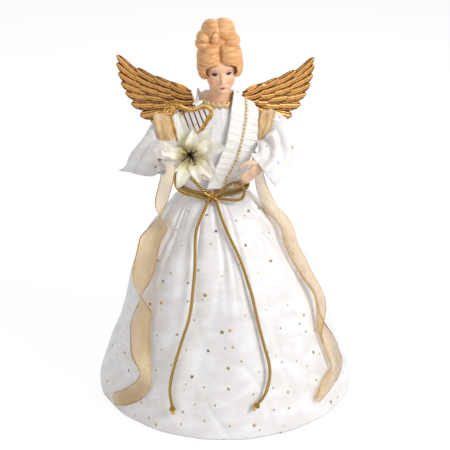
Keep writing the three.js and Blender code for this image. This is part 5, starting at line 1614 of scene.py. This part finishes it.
def feather(root, tip, half, front):
    """Rings of one blade in wing space: span, depth (front is negative), height."""
    start, end = Vector((root[0], 0, root[1])), Vector((tip[0], 0, tip[1]))
    run = end - start
    across = Vector((0, -1, 0)).cross(run).normalized()
    rows, maps = [], []
    for i in range(BLADE_ROWS + 1):
        s = i / BLADE_ROWS
        rounded = math.sqrt(max(0.0, 1 - max(0.0, (s - 0.72) / 0.285) ** 2))
        wide = half * (0.7 + 0.3 * ease(0, 0.3, s)) * rounded
        middle = start + run * s - across * run.length * 0.07 * math.sin(s * math.pi)
        row, marks = [], []
        for j in range(BLADE_COLUMNS + 1):
            t = 2 * j / BLADE_COLUMNS - 1
            rib = math.exp(-(t / 0.16) ** 2)
            rise = BLADE_ARCH * (1 - t * t) + RIB_HEIGHT * rib - BLADE_TUCK * t + 0.5 * math.sin(s * 2.6)
            crest = 0.42 + 0.35 * rib + 0.3 * (1 - abs(t)) - 0.25 * ease(0.6, 1, abs(t))
            row.append(middle + across * wide * t + Vector((0, front - rise, 0)))
            marks.append((clamp(crest), wide * t))
        for j in range(BLADE_COLUMNS, -1, -2):
            t = 2 * j / BLADE_COLUMNS - 1
            row.append(middle + across * wide * t * 0.96 + Vector((0, front + 0.7, 0)))
            marks.append((0.5, wide * t))
        rows.append(row)
        maps.append(marks + marks[:1])
    return rows, maps


# %% Both wings
WING_SWEEP, ROW_STEP, FEATHER_STEP, BONE_SIDES = math.radians(12), 1.5, 0.05, 14
HINGE_Y, HINGE_Z = 36.4, 288
BARREL_RADIUS, BORE_RADIUS, BARREL_HALF, BARREL_SIDES = 3.2, 1.5, 8, 24


def wing_tubes():
    tubes = []
    for k, blades in enumerate(FEATHER_ROWS):
        for n, (root, tip, half) in enumerate(blades):
            tubes.append(feather(root, tip, half, -0.3 - ROW_STEP * k + FEATHER_STEP * n))
    bone, _ = even_line(WING_BONE, 1.2)
    return tubes + [round_tube(bone, BONE_TAPER, (0, -1, 0), BONE_SIDES)]


def barrel_rings(hinge):
    """The hinge barrel, with its bore left open for the pin."""
    rings = [(BARREL_RADIUS, -BARREL_HALF), (BARREL_RADIUS, BARREL_HALF), (BORE_RADIUS, BARREL_HALF),
             (BORE_RADIUS, -BARREL_HALF), (BARREL_RADIUS, -BARREL_HALF)]
    angles = [TURN * k / BARREL_SIDES for k in range(BARREL_SIDES)]
    rows = [[Vector((r * math.cos(a), r * math.sin(a), z)) + hinge for a in angles] for r, z in rings]
    return rows, [[(0.6, 0.0)] * (BARREL_SIDES + 1) for _ in rows]


for side, sign, hinge_x, unit in (("left", 1, 6.717, 0.98), ("right", -1, -23.283, 1.02)):
    hinge = Vector((hinge_x, HINGE_Y, HINGE_Z))
    placed = Matrix.Translation(hinge) @ Matrix.Rotation(sign * WING_SWEEP, 4, "Z")
    placed = placed @ Matrix.Diagonal((sign * unit, 1, unit, 1))
    tubes = [([[placed @ point for point in row] for row in rows], maps) for rows, maps in wing_tubes()]
    blades = tubes_object(f"wing_blades_{side}", tubes)
    rows, maps = barrel_rings(hinge)
    barrel = face_out(grid_object(f"wing_barrel_{side}", rows, maps, around=True))
    wing = joined(f"gold_wing_{side}", [blades, barrel])
    settle(wing, wing_gold, f"wing_{side}", "antique_gold", f"wing_{side}")
print("each wing has", sum(len(row) for row in FEATHER_ROWS), "feathers")

# %% [markdown]
# ## Harp
# The little harp is one gold moulding: a straight column, a neck with a double curve, a sound box
# that leans to the foot, and six strings. Its bars are tubes with a flattened section.

# %% Harp bars
HARP_FOOT, BAR_SIDES, RING_PINS, RING_FRONT = Vector((-38.6, -61.1, 280.3)), 14, 20, -1.2
# Places in the harp's own plane, from its foot
HARP_NECK = [
    (-16, 51), (-11, 53.5), (-5, 52), (1, 49), (7, 47.8), (13, 50), (19, 51.5), (24, 49), (25.5, 44),
    (24, 39), (21, 37.5),
]
HARP_COLUMN = [(-16, 51), (-14, 40), (-10, 22), (-5, 0)]
HARP_BOX = [(25, 45), (19.5, 34), (7, 15), (-4, 0)]
ROSETTE, SCROLL = (-15.5, 47), (21.5, 38.5)


def harp_bar(points, widths, depth=1.7):
    line, _ = even_line([(x, 0, z) for x, z in points], 0.9)
    rows, maps = [], []
    for i, (point, side, up) in enumerate(frames_along(line, (0, 1, 0))):
        wide = lookup(widths, i / (len(line) - 1)) / 2
        row, marks = [], []
        for k in range(BAR_SIDES):
            a = TURN * k / BAR_SIDES
            groove = 1 - 0.22 * math.exp(-(math.cos(a) / 0.3) ** 2)
            row.append(HARP_FOOT + point + side * wide * math.cos(a) + up * depth * groove * math.sin(a))
            marks.append((0.45 + 0.5 * abs(math.cos(a)), i * 0.02))
        rows.append(row)
        maps.append(marks + marks[:1])
    return rows, maps


def harp_ring(center, radius, thick):
    x, z = center
    angles = [TURN * k / RING_PINS for k in range(RING_PINS)]
    loop = [(x + radius * math.cos(a), RING_FRONT, z + radius * math.sin(a)) for a in angles]
    line, _ = even_line(loop, 0.6, closed=True)
    return round_tube([HARP_FOOT + point for point in line], steady(thick), (0, 1, 0))


# %% Harp
STRINGS, STRING_RADIUS, STRING_CREST = 6, 0.75, (0.05, 0.6)
CREST_LEAVES, LEAF_TAPER = 3, [(0, 0.5), (0.4, 1.0), (1, 0.4)]
ROSETTE_BEADS, ROSETTE_RADIUS, ROSETTE_BEAD = 6, 2.7, 1.05
harp_tubes = [
    harp_bar(HARP_NECK, [(0, 3.4), (0.3, 4.2), (0.8, 4.6), (1, 2.4)]),
    harp_bar(HARP_COLUMN, [(0, 3), (0.5, 3.4), (1, 4.4)]),
    harp_bar(HARP_BOX, [(0, 3.4), (0.4, 5), (1, 8)], 2.2),
    harp_ring(ROSETTE, 4.9, 0.9),
    harp_ring(ROSETTE, 1.3, 0.6),
    harp_ring(SCROLL, 1.7, 0.7),
]
for k in range(STRINGS):
    share = k / (STRINGS - 1)
    top = Vector((lerp(-9, 17, share), 0, 50))
    foot = Vector((lerp(3.6, 21, share), 0, lerp(12, 40, share)))
    line = [HARP_FOOT + top.lerp(foot, step / 6) for step in range(7)]
    harp_tubes.append(round_tube(line, steady(STRING_RADIUS), (0, 1, 0), 6, STRING_CREST))
for k in range(CREST_LEAVES):
    leaf = [(-21 + 1.5 * k, -0.6, 50.5 - k), (-17 + k, -1, 56 - 1.4 * k), (-10, -1, 57 - 1.5 * k),
            (-5, -0.6, 54 - k)]
    line, _ = even_line(leaf, 0.8)
    harp_tubes.append(round_tube([HARP_FOOT + point for point in line], LEAF_TAPER, (0, 1, 0)))
harp = tubes_object("gold_harp", harp_tubes)
rosette_beads = []
for k in range(ROSETTE_BEADS):
    angle, (x, z) = TURN * k / ROSETTE_BEADS, ROSETTE
    place = Vector((x + ROSETTE_RADIUS * math.cos(angle), -1.4, z + ROSETTE_RADIUS * math.sin(angle)))
    rosette_beads.append(bead_at(HARP_FOOT + place, ROSETTE_BEAD, 0.9))
harp = joined("gold_harp", [harp] + rosette_beads)
settle(harp, harp_gold, "arm_right", "antique_gold", "harp")

# %% [markdown]
# ## Poinsettia
# A silk poinsettia on a wire stem stands in front of the right hand: sheer petals behind, and
# cream ones in front, each with its own length. A petal is a flat grid with a point, a mid
# vein and a wavy edge, bent forward to a cup. Dark stamens with olive tufts fill the middle.

# %% Petals
FLOWER_CENTER = Vector((-34, -78.6, 290))
# Direction in degrees, length and half width of each petal
OUTER_PETALS = [(105, 47, 7.5), (52, 36, 9), (14, 37, 10), (-46, 40, 11), (-106, 36, 9), (-166, 30, 8),
                (152, 30, 8)]
INNER_PETALS = [(82, 29, 6.8), (38, 27, 7.2), (172, 29, 6.5), (-111, 37, 7.2), (-72, 30, 6), (-46, 34, 6.8)]
PETAL_ROWS, PETAL_COLUMNS, PETAL_THICK, HEART_RADIUS = 18, 14, 0.3, 2.5


def petal_finish(name, body, tinge, cover):
    f = Finish(name)
    across, along, _ = f.split(f.coordinates("UV"))
    from_vein = (across - 0.5).size() * 2
    side_veins = ((along * 7 - from_vein * 2.2) * TURN).sine()
    vein = (1 - from_vein.ramp(0.0, 0.07)).larger((side_veins * 0.5 + 0.5) ** 8 * 0.5)
    sparkle = f.noise(f.coordinates("Object"), 2600.0, 1.0).ramp(0.62, 0.72) * from_vein.ramp(0.6, 1.0)
    heart = (1 - along.ramp(0.1, 0.6)) * 0.9
    color = f.mix(heart, body, tinge)
    color = f.mix(vein * 0.2, color, rgb(226, 219, 192))
    return f.surface({
        "Base Color": f.mix(sparkle, color, rgb(255, 253, 246)),
        "Roughness": 0.55 - sparkle * 0.3,
        "Alpha": (heart * 0.3 + sparkle * 0.2 + cover + vein * 0.1).held(),
        "Sheen Weight": 0.15,
        "Normal": f.bump(vein * -0.6 + side_veins * 0.15 + sparkle, 0.3 * MM, 0.6),
    })


def petal_grid(length, half, angle, cup, seed):
    """Points of one petal, from the flower's middle outwards, and its map."""
    outward = Vector((math.cos(angle), 0, math.sin(angle)))
    sideways = Vector((-math.sin(angle), 0, math.cos(angle)))
    rows, maps = [], []
    for i in range(PETAL_ROWS + 1):
        s = i / PETAL_ROWS
        wide = half * (0.16 + 0.84 * ease(0, 0.38, s)) * max(0.0, 1 - max(0.0, (s - 0.36) / 0.65) ** 1.5)
        lift = cup * (1.5 * s - 0.9 * s ** 3) + 1.2 * math.sin(s * 4 + seed)
        row = []
        for j in range(PETAL_COLUMNS + 1):
            t = 2 * j / PETAL_COLUMNS - 1
            trough = -1.6 * abs(t) * ease(0, 0.5, s)
            ripple = 0.9 * math.sin(s * 17 + seed + t * 2) * t * t * ease(0.1, 0.5, s)
            depth = lift - trough + ripple + 0.12 * seed * t
            reach = HEART_RADIUS + s * (length - HEART_RADIUS)
            row.append(outward * reach + sideways * wide * t + Vector((0, -depth, 0)))
        rows.append(row)
        maps.append([(j / PETAL_COLUMNS, s) for j in range(PETAL_COLUMNS + 1)])
    return rows, maps


def whorl(name, petals, cup, middle, material):
    points, faces, corners = [], [], []
    for k, (angle, length, half) in enumerate(petals):
        rows, maps = petal_grid(length, half, math.radians(angle), cup, 1.7 * (k % 4))
        more, places = grid_parts(rows, maps, base=len(points))
        faces += more
        corners += places
        points += [middle + point for row in rows for point in row]
    piece = mesh_object(name, points, faces, corners)
    modify(piece, "SOLIDIFY", thickness=PETAL_THICK * MM, offset=0)
    return settle(piece, material, "arm_right", "silk_petal", name.replace("silk", "flower"))


silk_sheer = petal_finish("silk_petal_sheer", rgb(250, 247, 236), rgb(226, 212, 156), 0.66)
silk_cream = petal_finish("silk_petal_cream", rgb(253, 248, 228), rgb(206, 188, 104), 0.92)
whorl("silk_outer_petals", OUTER_PETALS, 5.0, FLOWER_CENTER, silk_sheer)
whorl("silk_inner_petals", INNER_PETALS, 6.0, FLOWER_CENTER + Vector((0, -3, 0)), silk_cream)

# %% Stamens and stem
STAMENS, STAMEN_FOOT = 11, FLOWER_CENTER + Vector((0, -4.4, 0))
TUFT_BEADS, TUFT_BEAD = 3, 0.8


def painted_finish(name, dark, bright, grain_size):
    f = Finish(name)
    grain = f.noise(f.coordinates("Object"), 1 / grain_size, 3.0)
    return f.surface({
        "Base Color": f.mix(grain.ramp(0.35, 0.65), dark, bright),
        "Roughness": 0.55,
        "Normal": f.bump(grain, 0.3 * MM, 0.8),
    })


stalks, tufts = [], []
for k in range(STAMENS):
    angle = TURN * k * GOLDEN_SHARE + 0.4
    lean = 0.35 + 0.65 * ((k * 5) % STAMENS) / STAMENS
    outward = Vector((math.cos(angle), 0, math.sin(angle)))
    tip = STAMEN_FOOT + outward * 9.2 * lean + Vector((0, -8.5 + 4.5 * lean, 0))
    foot = STAMEN_FOOT + outward * 1.2 * lean
    line, _ = even_line([foot, foot.lerp(tip, 0.5) + Vector((0, -0.8, 0)), tip], 0.8)
    stalks.append(round_tube(line, [(0, 0.95), (1, 0.65)], (0, 0.3, 1), 6))
    for n in range(TUFT_BEADS):
        turn = n * 2.1 + k
        beside = Vector((0.9 * math.cos(turn), 0.5, 0.9 * math.sin(turn)))
        tufts.append(bead_at(tip + outward + beside, TUFT_BEAD))
stamen_dark = painted_finish("stamen_dark", rgb(18, 15, 10), rgb(54, 44, 24), 0.8 * MM)
stamen_olive = painted_finish("stamen_olive", rgb(72, 58, 20), rgb(168, 142, 66), 0.6 * MM)
stem_green = painted_finish("stem_green", rgb(66, 74, 34), rgb(108, 112, 60), 1.2 * MM)
settle(tubes_object("stamen_stalks", stalks), stamen_dark, "arm_right", "stamen", "flower_stamens")
settle(joined("stamen_tufts", tufts), stamen_olive, "arm_right", "stamen")

STEM = [(-34, -77.2, 290), (-34, -75, 289), (-40.3, -71.5, 281), (-41.3, -71.5, 268), (-42.3, -71.5, 250.5)]
stem_line, _ = even_line(STEM, 1.0)
stem = tubes_object("flower_wire_stem", [round_tube(stem_line, [(0, 1.2), (1, 1.1)], (0, 1, 0))])
settle(stem, stem_green, "arm_right", "stamen", "flower_stem")

# %% [markdown]
# ## Card, core and wires
# What holds the figure up stays as the frame has it: the card cone, the paper core, the arm wires
# and the bracket with its pins. They show only from below, behind or through a gap, and
# each material gets a plain finish of its own.

# %% Finishes for the frame's own pieces
def plain_finish(name, color, rough, metal, grain_size):
    f = Finish(name)
    grain = f.noise(f.coordinates("Object"), 1 / grain_size, 4.0)
    return f.surface({
        "Base Color": f.mix(grain.ramp(0.3, 0.7), [value * 0.82 for value in color[:3]] + [1], color),
        "Metallic": metal,
        "Roughness": rough - 0.05 + grain * 0.1,
        "Normal": f.bump(grain, 0.1 * MM, 0.3),
    })


card = plain_finish("grey_card", rgb(214, 206, 192), 0.8, 0.0, 3 * MM)
paper = plain_finish("paper_core_plain", rgb(222, 216, 206), 0.85, 0.0, 4 * MM)
steel = plain_finish("wire_steel", rgb(150, 140, 122), 0.4, 0.8, 2 * MM)
for finish, names in (
    (card, ["skirt_cone"]),
    (paper, ["torso_form"]),
    (steel, ["arm_wire_left", "arm_wire_right", "wing_bracket", "wing_pin_left", "wing_pin_right"]),
):
    for name in names:
        node = frame["nodes"][name]
        node.data.materials.clear()
        node.data.materials.append(finish)
